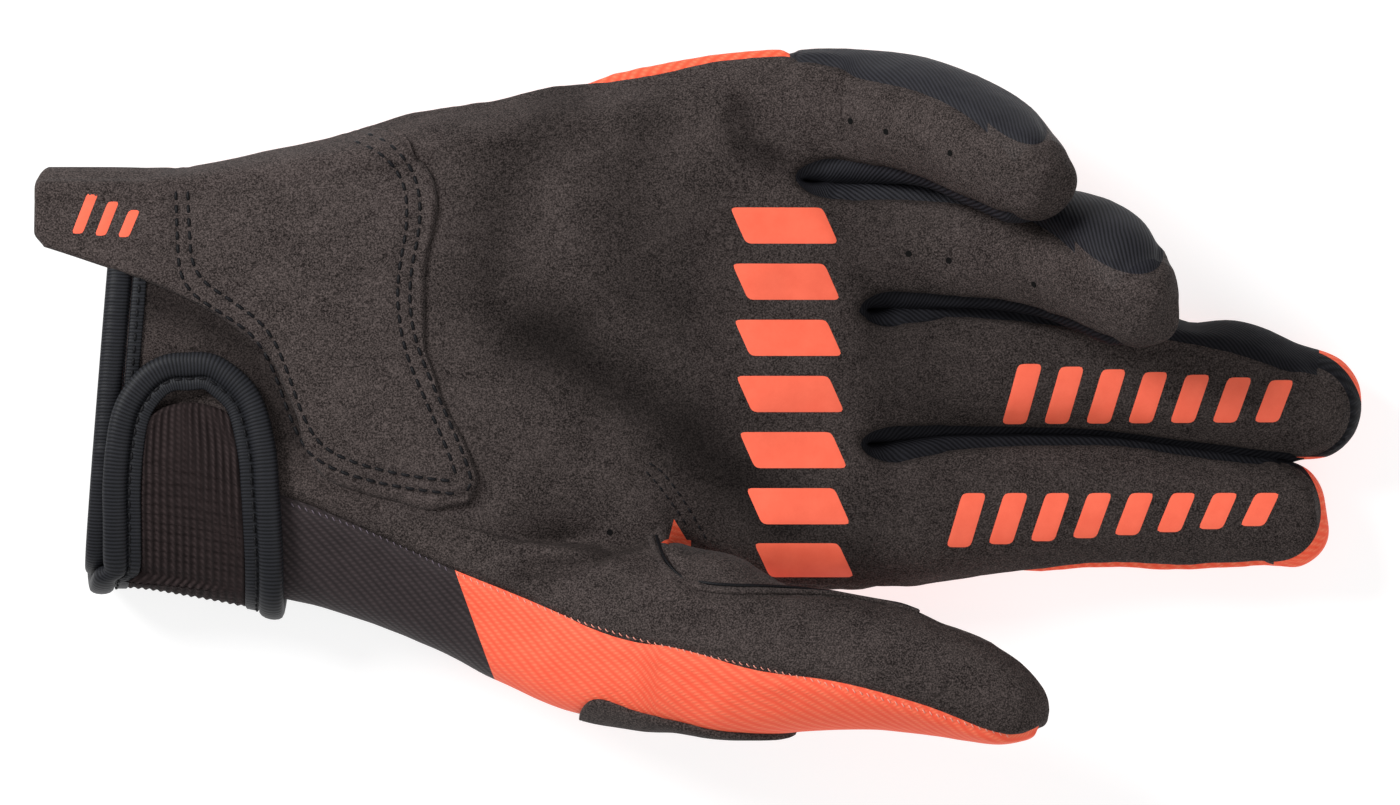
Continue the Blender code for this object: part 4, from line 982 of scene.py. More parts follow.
class SmoothSkin:
    def __init__(self, cage):
        mesh = bpy.data.meshes.new("cage")
        mesh.from_pydata([tuple(p) for p in cage.points], [], cage.faces)
        flat = [value for face in cage.cloth for spot in face for value in spot]
        mesh.uv_layers.new(name="cloth").data.foreach_set("uv", flat)
        label = mesh.attributes.new("label", "INT", "FACE")
        label.data.foreach_set("value", [pieceNames.index(name) for name in cage.labels])
        holder = bpy.data.objects.new("cage", mesh)
        scene.collection.objects.link(holder)
        smooth = holder.modifiers.new("smooth", "SUBSURF")
        smooth.uv_smooth, smooth.levels = "NONE", 1
        control = cage.points.copy()
        for _ in range(surface["corrections"]):
            reached = self.points(self.evaluated(holder))[:len(control)]
            control += (cage.points - reached) * 0.9
            mesh.vertices.foreach_set("co", control.ravel())
            mesh.update()
        smooth.levels = surface["levels"]
        made = bpy.data.meshes.new_from_object(self.evaluated(holder))
        bpy.data.objects.remove(holder)
        self.place = np.array([v.co for v in made.vertices])
        self.faces = np.array([tuple(face.vertices) for face in made.polygons])
        self.label = np.zeros(len(self.faces), int)
        made.attributes["label"].data.foreach_get("value", self.label)
        uv = np.zeros(len(self.faces) * 8)
        made.uv_layers["cloth"].data.foreach_get("uv", uv)
        self.cloth = uv.reshape(-1, 4, 2)
        folds = [cage.points[k] for fold in cage.folds for k in fold]
        self.foldDistance = nearest(self.place, folds)
        self.cuffEdge = nearest(self.place, [cage.points[k] for k in cage.cuff])

    def evaluated(self, holder):
        bpy.context.view_layer.update()
        return holder.evaluated_get(bpy.context.evaluated_depsgraph_get())

    def points(self, holder):
        return np.array([v.co for v in holder.data.vertices])

    def normals(self):
        corners = self.place[self.faces]
        area = np.cross(corners[:, 2] - corners[:, 0], corners[:, 3] - corners[:, 1])
        total = np.zeros_like(self.place)
        for k in range(4):
            np.add.at(total, self.faces[:, k], area)
        return unit(total)

    def seams(self):
        # Points where pieces meet, and which of them show a groove
        used = np.zeros((len(self.place), len(pieceNames)), bool)
        for k in range(4):
            used[self.faces[:, k], self.label] = True
        edge = used.sum(axis=1) > 1
        thumb = used[:, pieceNames.index("thumb_front")] & used[:, pieceNames.index("palm_panel")]
        grooved = edge & ~(thumb & (used.sum(axis=1) == 2))
        x, y, _ = self.place.T
        for tip in tips:
            start, low = fromPhoto(tip["suede"][0] - 12, tip["side"][1])
            high = fromPhoto(0, tip["side"][0])[1]
            grooved &= ~((x > start) & (y > low) & (y < high))
        for first, second, start in plainSeams:
            both = used[:, pieceNames.index(first)] & used[:, pieceNames.index(second)]
            grooved &= ~(both & (x > fromPhoto(start, 0)[0]))
        return used, edge, grooved

    def crumple(self):
        s = surface
        normal = self.normals()
        belongs, edge, grooved = self.seams()
        d = nearest(self.place, self.place[grooved])
        fromEdge = nearest(self.place, self.place[edge])
        room = np.clip(self.foldDistance / s["foldCalm"], s["foldLeast"], 1.0)
        rise = -s["grooveDepth"] * bell(d, s["grooveWidth"])
        rise += s["shoulder"] * bell(d - s["shoulderAt"], s["shoulderWidth"])
        rise += s["pucker"] * np.exp(-d / s["puckerReach"]) * noiseAt(self.place, s["puckerSize"])
        rise += s["sway"] * noiseAt(self.place, s["swaySize"], 3.0)
        rise += s["ripple"] * noiseAt(self.place, s["rippleSize"], 7.0)
        between = belongs[:, 5:8].any(axis=1) & ~belongs[:, :5].any(axis=1)
        straight = belongs[:, pieceNames.index("fourchette_middle_ring")]
        beyond = (self.place[:, 0] - fromPhoto(s["bulgeEnd"], 0)[0]) / s["bulgeEndFade"]
        free = 1 - np.clip(beyond, 0, 1) * straight
        rise += s["sideBulge"] * between * (1 - bell(fromEdge, s["bulgeFade"])) * free
        rise *= room
        facing = np.clip(normal[:, 2] * 3, 0, 1)
        flat = self.place[:, :2]
        for line, depth, width in creases:
            rise -= depth * bell(distanceToLine(flat, line), width) * facing
        for line, amount, reach in fullness:
            rise += amount * bell(distanceToLine(flat, line), reach)
        for oval in [tip["suede"] for tip in tips] + [end["round"] for end in ends] + list(slots):
            x, y, wide, tall, turn = (*oval, 0)[:5]
            cosine, sine = turned(turn)
            arc = []
            for a in np.radians(np.arange(-80, 81, 8)) + (math.pi if oval in slots else 0):
                p, q = wide * math.cos(a), tall * math.sin(a)
                arc.append((x + p * cosine - q * sine, y + p * sine + q * cosine))
            rise -= s["roundDepth"] * bell(distanceToLine(flat, arc), s["roundWidth"]) * facing
        # Painted shade for the suede's colour, kept as a point attribute
        light = np.ones(len(flat))
        for line, width, amount in shades:
            light *= 1 - amount * bell(distanceToLine(flat, line), width * photo["pixel"])
        self.paintedShade = 1 - light
        calm = np.clip(self.cuffEdge / s["cuffCalm"], 0.0, 1.0)
        self.place += normal * (rise * calm)[:, None]
        for side, start, end in tucks:
            low, high = fromPhoto(start, 0)[0], fromPhoto(end, 0)[0]
            x, y = self.place[:, 0], self.place[:, 1]
            share = np.clip((x - low) / s["tuckFade"], 0, 1) * np.clip((high - x) / s["tuckFade"], 0, 1)
            share *= belongs[:, 1] & ~belongs[:, 0] & (y * side > s["tuckSide"])
            self.place[:, 1] -= side * s["tuck"] * share * (1 - bell(d, s["tuckEdge"]))
        self.place[:, 2] = np.maximum(self.place[:, 2], 0.0)
        self.normal = self.normals()
        self.tree = BVHTree.FromPolygons([Vector(p) for p in self.place], self.faces.tolist())

    def lay(self, guess):
        place, _, index, _ = self.tree.find_nearest(Vector(guess))
        return np.array(place), self.normalAt(place, index)

    def layAll(self, guesses):
        return [np.array(part) for part in zip(*(self.lay(guess) for guess in guesses))]

    def normalAt(self, place, index):
        corners = self.faces[index]
        weights = 1 / (np.linalg.norm(self.place[corners] - np.array(place), axis=1) + 0.05)
        return unit((self.normal[corners] * weights[:, None]).sum(axis=0))

    def wrist(self, along, angle):
        # A place by its share along the hand and its angle round it, also past the cuff's edge
        x = along * handLength
        lateral = handPoint(x, angle)[1] / knuckleWidth
        first = cuffX(lateral) + pipingWidth + 2 * seamGap
        place, normal = self.lay(handPoint(max(x, first), angle))
        if x < first:
            place[0] = x
            normal[0] = 0.0
        return place, unit(normal)


def finished(piece, slotName, *nodes):
    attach(piece, "root")
    if nodes:
        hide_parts(*nodes)
    return piece


def meshPiece(name, points, faces, material, cloth=None, sharp=60):
    mesh = bpy.data.meshes.new(name)
    places = np.asarray(points) + seat
    places[:, 2] = np.maximum(places[:, 2], 0.0)  # nothing reaches below the ground
    mesh.from_pydata(places * mm, [], faces)
    if cloth is None:
        cloth = np.zeros((sum(len(face) for face in faces), 2))
    mesh.uv_layers.new(name="cloth").data.foreach_set("uv", np.asarray(cloth, float).ravel())
    mesh.update()
    mesh.shade_smooth()
    mesh.set_sharp_from_angle(angle=math.radians(sharp))
    mesh.materials.append(material)
    piece = bpy.data.objects.new(name, mesh)
    scene.collection.objects.link(piece)
    return piece


def panel(skin, name, labels, wall, material):
    # One piece of cloth with its wall inwards, its edges meeting its neighbours in the seam
    chosen = np.isin(skin.label, [pieceNames.index(label) for label in labels])
    faces, cloth = skin.faces[chosen], skin.cloth[chosen]
    used, faces = np.unique(faces, return_inverse=True)
    faces = faces.reshape(-1, 4)
    outer = skin.place[used]
    thin = np.minimum(wall, surface["foldWall"] + surface["foldWallGrowth"] * skin.foldDistance[used])
    inner = outer - skin.normal[used] * thin[:, None]
    count = len(used)
    pairs = np.concatenate([faces[:, [k, (k + 1) % 4]] for k in range(4)])
    spots = np.concatenate([cloth[:, [k, (k + 1) % 4]] for k in range(4)])
    forward = pairs[:, 0] * count + pairs[:, 1]
    backward = pairs[:, 1] * count + pairs[:, 0]
    rim = ~np.isin(forward, backward)
    a, b = pairs[rim, 0], pairs[rim, 1]
    sides = np.stack([b, a, a + count, b + count], axis=1)
    sideCloth = spots[rim][:, [1, 0, 0, 1]]
    everything = np.vstack([faces, faces[:, ::-1] + count, sides])
    allCloth = np.vstack([cloth, cloth[:, ::-1], sideCloth])
    piece = meshPiece(name, np.vstack([outer, inner]), everything.tolist(), material, allCloth)
    # The painted shade goes onto the outer and the inner points
    paintedShade = piece.data.attributes.new("paintedShade", "FLOAT", "POINT")
    paintedShade.data.foreach_set("value", np.tile(skin.paintedShade[used], 2))
    return piece


def relax(cage, label, start, rounds, strength):
    # Evens out the cage inside one piece, beyond a place along the hand and away from its seams
    beside = {}
    for face, name in zip(cage.faces, cage.labels):
        for k, corner in enumerate(face):
            near, names = beside.setdefault(corner, (set(), set()))
            near.update((face[k - 1], face[(k + 1) % len(face)]))
            names.add(name)
    inside = [k for k, (_, names) in beside.items() if names == {label} and cage.points[k][0] > start]
    for _ in range(rounds):
        before = cage.points.copy()
        for k in inside:
            cage.points[k] = mix(before[k], before[list(beside[k][0])].mean(axis=0), strength)


def sheetPiece(name, places, normals, low, thick, material, rise=None, lip=0.9):
    # A sheet laid on a grid of places, with rounded edges. rise adds height over the top
    rows, columns = places.shape[:2]
    flat = places.reshape(-1, 3)
    out = normals.reshape(-1, 3)
    at = np.arange(rows * columns).reshape(rows, columns)
    border = np.concatenate([at[:, 0], at[-1, 1:], at[-2::-1, -1], at[0, -2:0:-1]])
    inside = np.clip(nearest(flat, flat[border]) / lip, 0, 1)
    top = low + thick * (0.35 + 0.65 * np.sqrt(1 - (1 - inside) ** 2))
    if rise is not None:
        top = top + rise * inside
    count = len(flat)
    quads = np.stack([at[:-1, :-1], at[1:, :-1], at[1:, 1:], at[:-1, 1:]], axis=-1).reshape(-1, 4)
    around = np.roll(border, -1)
    rim = np.stack([around, border, border + count, around + count], axis=1)
    faces = np.vstack([quads, quads[:, ::-1] + count, rim])
    first = np.cross(places[1, 0] - places[0, 0], places[0, 1] - places[0, 0])
    if first @ normals[0, 0] > 0:
        faces = faces[:, ::-1]
    points = np.vstack([flat + out * low, flat + out * top[:, None]])
    points[:, 2] = np.maximum(points[:, 2], 0.0)
    ways = mileage(places[:, columns // 2]), mileage(places[rows // 2])
    spots = np.stack(np.meshgrid(*ways, indexing="ij"), axis=-1).reshape(-1, 2)
    piece = meshPiece(name, points, faces.tolist(), material, np.vstack([spots, spots])[faces].reshape(-1, 2))
    return piece, BVHTree.FromPolygons([Vector(p) for p in points], faces.tolist())


def bandPiece(name, centres, outs, sides, profile, material, closed=False):
    count, last = len(profile), len(centres)
    shape = np.array(profile)
    points = centres[:, None] + sides[:, None] * shape[:, 0:1] + outs[:, None] * shape[:, 1:2]
    points = points.reshape(-1, 3)
    points[:, 2] = np.maximum(points[:, 2], 0.0)
    along, about = mileage(centres), mileage(np.vstack([shape, shape[:1]]))
    faces, cloth = [], []
    for i in range(last if closed else last - 1):
        a, b = i * count, (i + 1) % last * count
        ends = along[i], along[i + 1] if i + 1 < last else along[-1] + along[1]
        for k in range(count):
            n = (k + 1) % count
            faces.append((a + k, a + n, b + n, b + k))
            cloth += [(ends[m], about[k + on]) for m, on in ((0, 0), (0, 1), (1, 1), (1, 0))]
    if not closed:
        for ring in (list(range(count))[::-1], list(range(len(points) - count, len(points)))):
            faces.append(tuple(ring))
            cloth += [tuple(shape[k % count]) for k in ring]
    volume = sum(points[f[0]] @ (np.cross(points[f[1]], points[f[2]]) + np.cross(points[f[2]], points[f[3]]))
                 for f in faces if len(f) == 4)
    if volume < 0:
        flipped, spot = [], 0
        for face in faces:
            flipped += cloth[spot:spot + len(face)][::-1]
            spot += len(face)
        faces, cloth = [face[::-1] for face in faces], flipped
    return meshPiece(name, points, faces, material, cloth, sharp=70)


def drop(trees, x, y):
    # The highest place at x, y on any of these surfaces, and its normal
    best = None
    for tree in trees:
        hit, normal, _, _ = tree.ray_cast(Vector((x, y, 150.0)), Vector((0, 0, -1)))
        if hit is not None and (best is None or hit.z > best[0][2]):
            best = np.array(hit), np.array(normal)
    return best


def evenly(line, pitch):
    line = np.array(line, float)
    length = mileage(line)
    places = np.arange(0, length[-1], pitch)
    return np.stack([np.interp(places, length, line[:, k]) for k in range(line.shape[1])], axis=1)


def dropped(trees, line, pitch):
    # Evenly spaced places under a line given in pixels of the photograph, and their normals
    found = [drop(trees, *spot) for spot in evenly(smoothed(traced(line)), pitch)]
    return [np.array([spot[k] for spot in found if spot]) for k in (0, 1)]


# Half a stitch: place along it, thickness and lift
stitchRings = ((1.0, 0.35, -0.20), (0.8, 0.85, 0.02), (0.3, 1.0, 0.12))


class Thread:  # gathers stitches, each a small bent roll of thread, into one piece
    def __init__(self, pitch=2.4, share=0.74, radius=0.26, turn=0.0):
        self.pitch, self.share, self.radius, self.turn = pitch, share, radius, math.radians(turn)
        self.points, self.faces = [], []

    def stitch(self, centre, ahead, out):
        side = np.cross(out, ahead)
        half = self.pitch * self.share / 2
        start, sides = len(self.points), 6
        rings = [(-at, fat, lift) for at, fat, lift in stitchRings] + list(stitchRings[::-1])
        for along, fat, lift in rings:
            for k in range(sides):
                c, s = math.cos(2 * math.pi * k / sides), math.sin(2 * math.pi * k / sides)
                self.points.append(centre + ahead * along * half + side * c * fat * self.radius
                                   + out * (s * fat * self.radius + lift))
        for i in range(len(rings) - 1):
            for k in range(sides):
                a, b = start + i * sides + k, start + i * sides + (k + 1) % sides
                self.faces.append((a, a + sides, b + sides, b))
        self.faces.append(tuple(start + k for k in range(sides)))
        self.faces.append(tuple(start + (len(rings) - 1) * sides + k for k in reversed(range(sides))))

    def run(self, places, outs):
        for k in range(len(places) - 1):
            ahead = places[k + 1] - places[k]
            size = np.linalg.norm(ahead)
            if 0.2 < size < self.pitch * 2:
                ahead = ahead / size
                out = outs[k] - ahead * (outs[k] @ ahead)
                out /= np.linalg.norm(out)
                ahead = ahead * math.cos(self.turn) + np.cross(out, ahead) * math.sin(self.turn)
                self.stitch((places[k] + places[k + 1]) / 2, ahead, out)

    def along(self, line, outs):
        seam = evenly(np.hstack([line, outs]), self.pitch)
        self.run(seam[:, :3], seam[:, 3:])

    def overTop(self, trees, line):  # a line of stitches given in pixels of the photograph
        self.run(*dropped(trees, line, self.pitch))

    def piece(self, name, material):
        return meshPiece(name, self.points, self.faces, material)


def smoothed(line, rounds=3):  # cuts the corners of a line
    line = np.array(line, float)
    for _ in range(rounds):
        a, b = line[:-1] * 0.75 + line[1:] * 0.25, line[:-1] * 0.25 + line[1:] * 0.75
        inner = np.stack([a, b], axis=1).reshape(-1, line.shape[1])
        line = np.vstack([line[:1], inner, line[-1:]])
    return line


def printedMark(name, outlines, trees, material, lift=0.10):
    # Rubbery print: flat outlines in pixels, laid on the cloth with a soft edge
    points, faces = [], []
    for outline in outlines:
        edge = evenly(np.vstack([outline, outline[:1]]), 3.0)
        low, high = edge.min(axis=0), edge.max(axis=0)
        grid = [(x, y) for x in np.arange(low[0], high[0], 3.0) for y in np.arange(low[1], high[1], 3.0)]
        grid = [p for p in grid if within(p, edge) and np.min(np.linalg.norm(edge - p, axis=1)) > 1.8]
        spots = [Vector(p) for p in edge] + [Vector(p) for p in grid]
        loop = list(range(len(edge)))
        flat, _, made, _, _, _ = geometry.delaunay_2d_cdt(spots, [], [loop], 1, 1e-4)
        start = len(points)
        tops, lows = [], []
        for k, spot in enumerate(flat):
            place, normal = drop(trees, *fromPhoto(*spot))
            near = np.min(np.linalg.norm(edge - np.array(spot), axis=1))
            tops.append(place + normal * lift * (0.45 + 0.55 * min(near / 2.5, 1.0)))
            lows.append(place - normal * 0.12)
        points += tops + lows
        count = len(flat)
        for face in made:
            a, b, c = (np.array(flat[k]) for k in face[:3])
            turn = (b[0] - a[0]) * (c[1] - a[1]) - (b[1] - a[1]) * (c[0] - a[0])
            face = tuple(face) if turn < 0 else tuple(face)[::-1]
            faces.append(tuple(start + k for k in face))
            faces.append(tuple(start + count + k for k in reversed(face)))
        rims = {}
        for face in made:
            a, b, c = face[:3]
            for pair in ((a, b), (b, c), (c, a)):
                rims[tuple(sorted(pair))] = rims.get(tuple(sorted(pair)), 0) + 1
        for (a, b), times in rims.items():
            if times == 1:
                faces.append((start + a, start + b, start + count + b, start + count + a))
    return meshPiece(name, points, faces, material)


def within(spot, outline):
    x, y = spot
    inside = False
    for (ax, ay), (bx, by) in zip(outline, np.roll(outline, -1, axis=0)):
        if (ay > y) != (by > y) and x < (bx - ax) * (y - ay) / (by - ay) + ax:
            inside = not inside
    return inside


def bar(x, y, wide, tall, lean, corner=5.0):
    # A leaning bar with rounded corners, in pixels: middle, size and how far its top leans over
    corners = [(-wide / 2 - lean / 2, tall / 2), (wide / 2 - lean / 2, tall / 2),
               (wide / 2 + lean / 2, -tall / 2), (-wide / 2 + lean / 2, -tall / 2)]
    found = []
    for k in range(4):
        here, back, on = (np.array(corners[j % 4]) for j in (k, k - 1, k + 1))
        for t in (0.0, 0.35, 0.7, 1.0):
            a = here + (back - here) * corner / np.linalg.norm(back - here) * (1 - t)
            b = here + (on - here) * corner / np.linalg.norm(on - here) * t
            found.append((a + b) / 2 if 0 < t < 1 else (a if t == 0 else b))
    return np.array(found) + (x, y)


cage = buildCage()
soften(cage)
relax(cage, "thumb_side", 70.0, 2, 0.35)
cage.cuff = [k for part in ("over", "radial", "under", "ulnar") for k in cage.first[part]]
skin = SmoothSkin(cage)
_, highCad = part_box("back_panel")
thumbLow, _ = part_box("thumb_side")
backPoints, thumbPoints = (
    cage.points[sorted({k for face, name in zip(cage.faces, cage.labels) if name == label for k in face})]
    for label in ("back_panel", "thumb_side"))
seat = np.array([highCad.x / mm - backPoints[:, 0].max(), thumbLow.y / mm - thumbPoints[:, 1].min(), 0.0])
print("surface: %d faces, seated by %s mm" % (len(skin.faces), np.round(seat, 2)))

skin.crumple()
print("surface creased")

# Dark and light tone of each cloth
tones = dict(
    suede=((0.0050, 0.0038, 0.0036), (0.128, 0.102, 0.096)),
    heel=((0.0055, 0.00418, 0.00396), (0.1408, 0.1122, 0.1056)),
    orange=((0.92, 0.090, 0.042), (1.0, 0.215, 0.110)),
    black=((0.010, 0.006, 0.007), (0.048, 0.034, 0.036)),
    twill=((0.006, 0.006, 0.008), (0.030, 0.030, 0.037)),
    # The next tone is the black twill darkened as painted shade, for the cloth between the fingers, the
    # starts of the gaps and the fingertips' black borders
    shadedGap=((0.003, 0.003, 0.004), (0.017, 0.017, 0.021)),
    # The next tone is the black twill with a darker dark end, painted shade for the side strip in the gap
    # between ring and little finger
    ringSideShaded=((0.003, 0.003, 0.004), (0.030, 0.030, 0.037)),
    knit=((0.008, 0.005, 0.005), (0.042, 0.029, 0.029)),
    binding=((0.003, 0.0033, 0.0040), (0.022, 0.023, 0.028)),
    thread=((0.003, 0.003, 0.004), (0.012, 0.012, 0.014)),
    print=((0.90, 0.130, 0.070), (1.0, 0.175, 0.098)),
    # The next tone is near black, painted shade in place of the punched holes' open insides
    holeShade=((0.002, 0.002, 0.002), (0.006, 0.006, 0.006)),
    darkFlecks=((0.112, 0.091, 0.112), (0.16, 0.13, 0.16)),
    brightFlecks=((0.70, 0.294, 0.231), (1.0, 0.42, 0.33)),
)
palmFinish, heelFinish = suede("palmSuede", "suede"), suede("heelSuede", "heel")
textile = dict(pitch=1.4, angle=-54, dash=0.65)
# Cloth between the fingers, in the twill darkened as painted shade
gapShadedFinish = ribbed("gapTwillShaded", "shadedGap", 0.6, 55, roughness=0.7, depth=0.06, shine=0.08)
knitFinish = ribbed("flapKnit", "knit", 1.4, 0, 0.9, roughness=0.9, depth=0.15)
bindingFinish = ribbed("grosgrain", "binding", 0.62, 0, roughness=0.5, depth=0.03, spots=0.15)
threadFinish = ribbed("blackThread", "thread", 0.5, 40, roughness=0.5, depth=0.02)
printFinish = ribbed("orangePrint", "print", 0.9, 30, roughness=0.5, depth=0.01, spots=0.8)
holeShadeFinish = ribbed("punchedHoleShade", "holeShade", 0.5, 0, roughness=1.0, depth=0.01)

webHeight = 12.0  # in millimetres
webCorners = ((674, 519), (693, 550), (666, 550))  # in pixels of the photograph


def stripFinish(name, tone, end):  # a black side strip up to its round end, then suede
    f = Finish(name, Specular_IOR_Level=0.12)
    share, ribs = ribShare(f, 0.6, 55)
    x, y, _ = spotOf(f)
    suedeLook, _ = suedeColour(f)
    beyond = (x > fromPhoto(end["start"], 0)[0]) * (1.0 - inside(x, y, end["round"]))
    return f.close(f.blend(beyond, f.blend(share, *tones[tone]), suedeLook), 0.6, ribs, 0.06)


def panelFinish(name, onSuede):
    # The palm's suede or the back's textile, with the fingertips' rounds and the starts of the gaps
    f = Finish(name, Specular_IOR_Level=0.1)
    suedeLook, height = suedeColour(f)
    share, ribs = ribShare(f, **textile)
    orangeLook, shadedBlackLook = f.blend(share, *tones["orange"]), f.blend(share, *tones["shadedGap"])
    colour, x, y, z = tipped(f, suedeLook if onSuede else orangeLook, suedeLook, orangeLook, shadedBlackLook)
    if onSuede:
        stripLook = f.blend(ribShare(f, 0.6, 55)[0], *tones["twill"])
        for end in ends:
            here = inside(x, y, end["round"]) * (x > fromPhoto(end["start"], 0)[0])
            colour = f.blend(here, colour, stripLook)
        # Beside the thumb the textile of the back shows as a small triangle
        web = z > webHeight
        for start, end in zip(webCorners, webCorners[1:] + webCorners[:1]):
            web = web * pastLine(x, y, start, end)
        colour = f.blend(web, colour, orangeLook)
        # The starts of the gaps, painted black in the twill darkened as painted shade
        for slot in slots:
            colour = f.blend(inside(x, y, slot) * (z > tipHeight), colour, shadedBlackLook)
        return f.close(colour, 0.96, height, 0.16)
    # Beside the web only a little orange shows under the suede
    (start, top), (end, _) = fromPhoto(691, 500), fromPhoto(1040, 0)
    colour = f.blend((x > start) * (x < end) * (y < top) * (z > webHeight), colour, suedeLook)
    return f.close(colour, 0.7, ribs, 0.10)


def sideFinish():
    # The thumb's textile: black by the wrist, orange from a slanted line on
    f = Finish("thumbTextile", Specular_IOR_Level=0.3)
    share, ribs = ribShare(f, **textile)
    x, y, _ = spotOf(f)
    orange = pastLine(x, y, (492, 672), (455, 568))
    colour = f.blend(orange, f.blend(share, *tones["black"]), f.blend(share, *tones["orange"]))
    return f.close(colour, 0.7, ribs, 0.10)


palmPanelFinish, backFinish = panelFinish("palmPanel", True), panelFinish("backPanel", False)
thumbFinish = sideFinish()
stripFinishes = dict(
    pinky_side_panel=stripFinish("pinkySide", "twill", ends[0]),
    fourchette_ring_pinky=stripFinish("ringSideShaded", "ringSideShaded", ends[1]),
)
panels = (
    ("palmSuedePanel", "palm_suede", palmPanelFinish, ("palm_panel", "thumb_front")),
    ("backPanel", "orange_textile", backFinish, ("back_panel",)),
    ("thumbSide", "orange_textile", thumbFinish, ("thumb_side",)),
    ("thumbInner", "palm_suede", palmFinish, ("thumb_inner",)),
)
for name, slotName, finish, nodes in panels:
    finished(panel(skin, name, nodes, surface["wall"], finish), slotName, *nodes)
for node in pieceNames[5:]:
    black = stripFinishes.get(node, gapShadedFinish)
    finished(panel(skin, node + "_cloth", (node,), surface["sideWall"], black), "black_twill", node)
print("cloth panels cut")

# Heel patch with its pull tab
heel = dict(grid=(150, 110), low=0.05, thick=1.25, crown=0.35, crownWidth=6.0,
            stitchDip=0.30, stitchWidth=0.9, thread=0.31)
heelStitches = (
    ((176, 176), (178, 230), (181, 287), (225, 315), (258, 337), (276, 372), (291, 418), (309, 455),
     (345, 474), (400, 487), (462, 494)),
    ((188, 176), (190, 230), (194, 276), (236, 303), (270, 328), (288, 368), (303, 415), (321, 446),
     (352, 462), (405, 475), (455, 481)),
    ((352, 129), (385, 140), (408, 160), (421, 190), (421, 230), (412, 270), (410, 305), (417, 345),
     (437, 392), (462, 447), (476, 488), (462, 494)),
    ((352, 141), (378, 151), (397, 168), (408, 193), (408, 230), (400, 268), (398, 305), (405, 350),
     (425, 397), (449, 450), (459, 480)),
)


def heelPatch():
    across, up = heel["grid"]
    lower, upper = smoothLine(overPalm(patchLower), across), smoothLine(overPalm(patchUpper), across)
    left, right = smoothLine(overPalm(patchLeft), up), smoothLine(overPalm(patchRight), up)
    places, normals = np.zeros((across, up, 3)), np.zeros((across, up, 3))
    for i in range(across):
        u = i / (across - 1)
        for j in range(up):
            v = j / (up - 1)
            share = mix(lower[i], upper[i], v) + mix(left[j], right[j], u)
            share = share - mix(mix(lower[0], lower[-1], u), mix(upper[0], upper[-1], u), v)
            places[i, j], normals[i, j] = skin.wrist(share[0], share[1] / angleScale)
    flat = places.reshape(-1, 3)[:, :2]
    away = np.min([distanceToLine(flat, smoothed(traced(line)), False) for line in heelStitches], axis=0)
    rise = heel["crown"] * (1 - bell(away, heel["crownWidth"]))
    rise -= heel["stitchDip"] * bell(away, heel["stitchWidth"])
    return sheetPiece("heelPatch", places, normals, heel["low"], heel["thick"], heelFinish, rise)


heelPiece, heelTree = heelPatch()
finished(heelPiece, "heel_suede", "heel_patch")
thread = Thread(radius=heel["thread"])
for line in heelStitches:
    thread.overTop((skin.tree, heelTree), line)
finished(thread.piece("heelStitching", threadFinish), "binding")
print("heel patch sewn on")

# Wrist flap, its edging and the cuff's binding
flap = dict(grid=(110, 120), ribPitch=1.4, ribHeight=0.16, stations=420, rows=241, even=30,
            edgeEven=(12, 60, 120), pipingCrown=1.25, thread=0.24)
cuff = dict(stations=480, tapeStart=0.3, tapeOverlap=0.5)
halfEdging = (pipingWidth + tapeWidth) / 2


def flapFrames(count):
    centres, outs = (np.array(part) for part in zip(*(skin.wrist(*spot) for spot in flapPath(count))))
    ahead = np.vstack([centres[1:2] - centres[:1], centres[2:] - centres[:-2], centres[-1:] - centres[-2:-1]])
    return centres, outs, unit(np.cross(outs, ahead))


def evened(values, rounds):  # takes small jolts out of a row of places or directions
    values = values.copy()
    for _ in range(rounds):
        values[1:-1] = values[1:-1] * 0.5 + (values[:-2] + values[2:]) * 0.25
    return values


def edgingProfile(low, flatTop, crown):
    half = halfEdging
    outline = [(-half, low + 0.2), (-half, flatTop - 0.25), (-half + 0.25, flatTop),
               (-half + tapeWidth - 0.7, flatTop), (-half + tapeWidth - 0.25, flatTop - 0.30),
               (-half + tapeWidth, flatTop - 0.35)]
    middle, radius = half - pipingWidth / 2, pipingWidth / 2
    for k in range(9):
        turn = math.pi - k * math.pi / 8
        height = flatTop - 0.3 + (crown - flatTop + 0.3) * math.sin(turn) ** 0.8
        outline.append((middle + radius * math.cos(turn), height))
    return outline + [(half, low + 0.6), (half - 0.5, low), (-half + 0.3, low)]


def flapEdging():
    centres, outs, sides = flapFrames(flap["stations"])
    little, more, most = flap["edgeEven"]
    centres, outs, sides = evened(centres, little), evened(outs, more), evened(sides, more)
    centres[:, 2] = evened(centres[:, 2], most)
    top = flapLift + flapWall
    profile = edgingProfile(flapLift, top, top + pipingRise * flap["pipingCrown"])
    piece = bandPiece("flapBinding", centres, outs, sides, profile, bindingFinish)
    seam = centres + sides * (-halfEdging + tapeWidth - 0.45) + outs * (top - 0.12)
    return piece, seam, outs


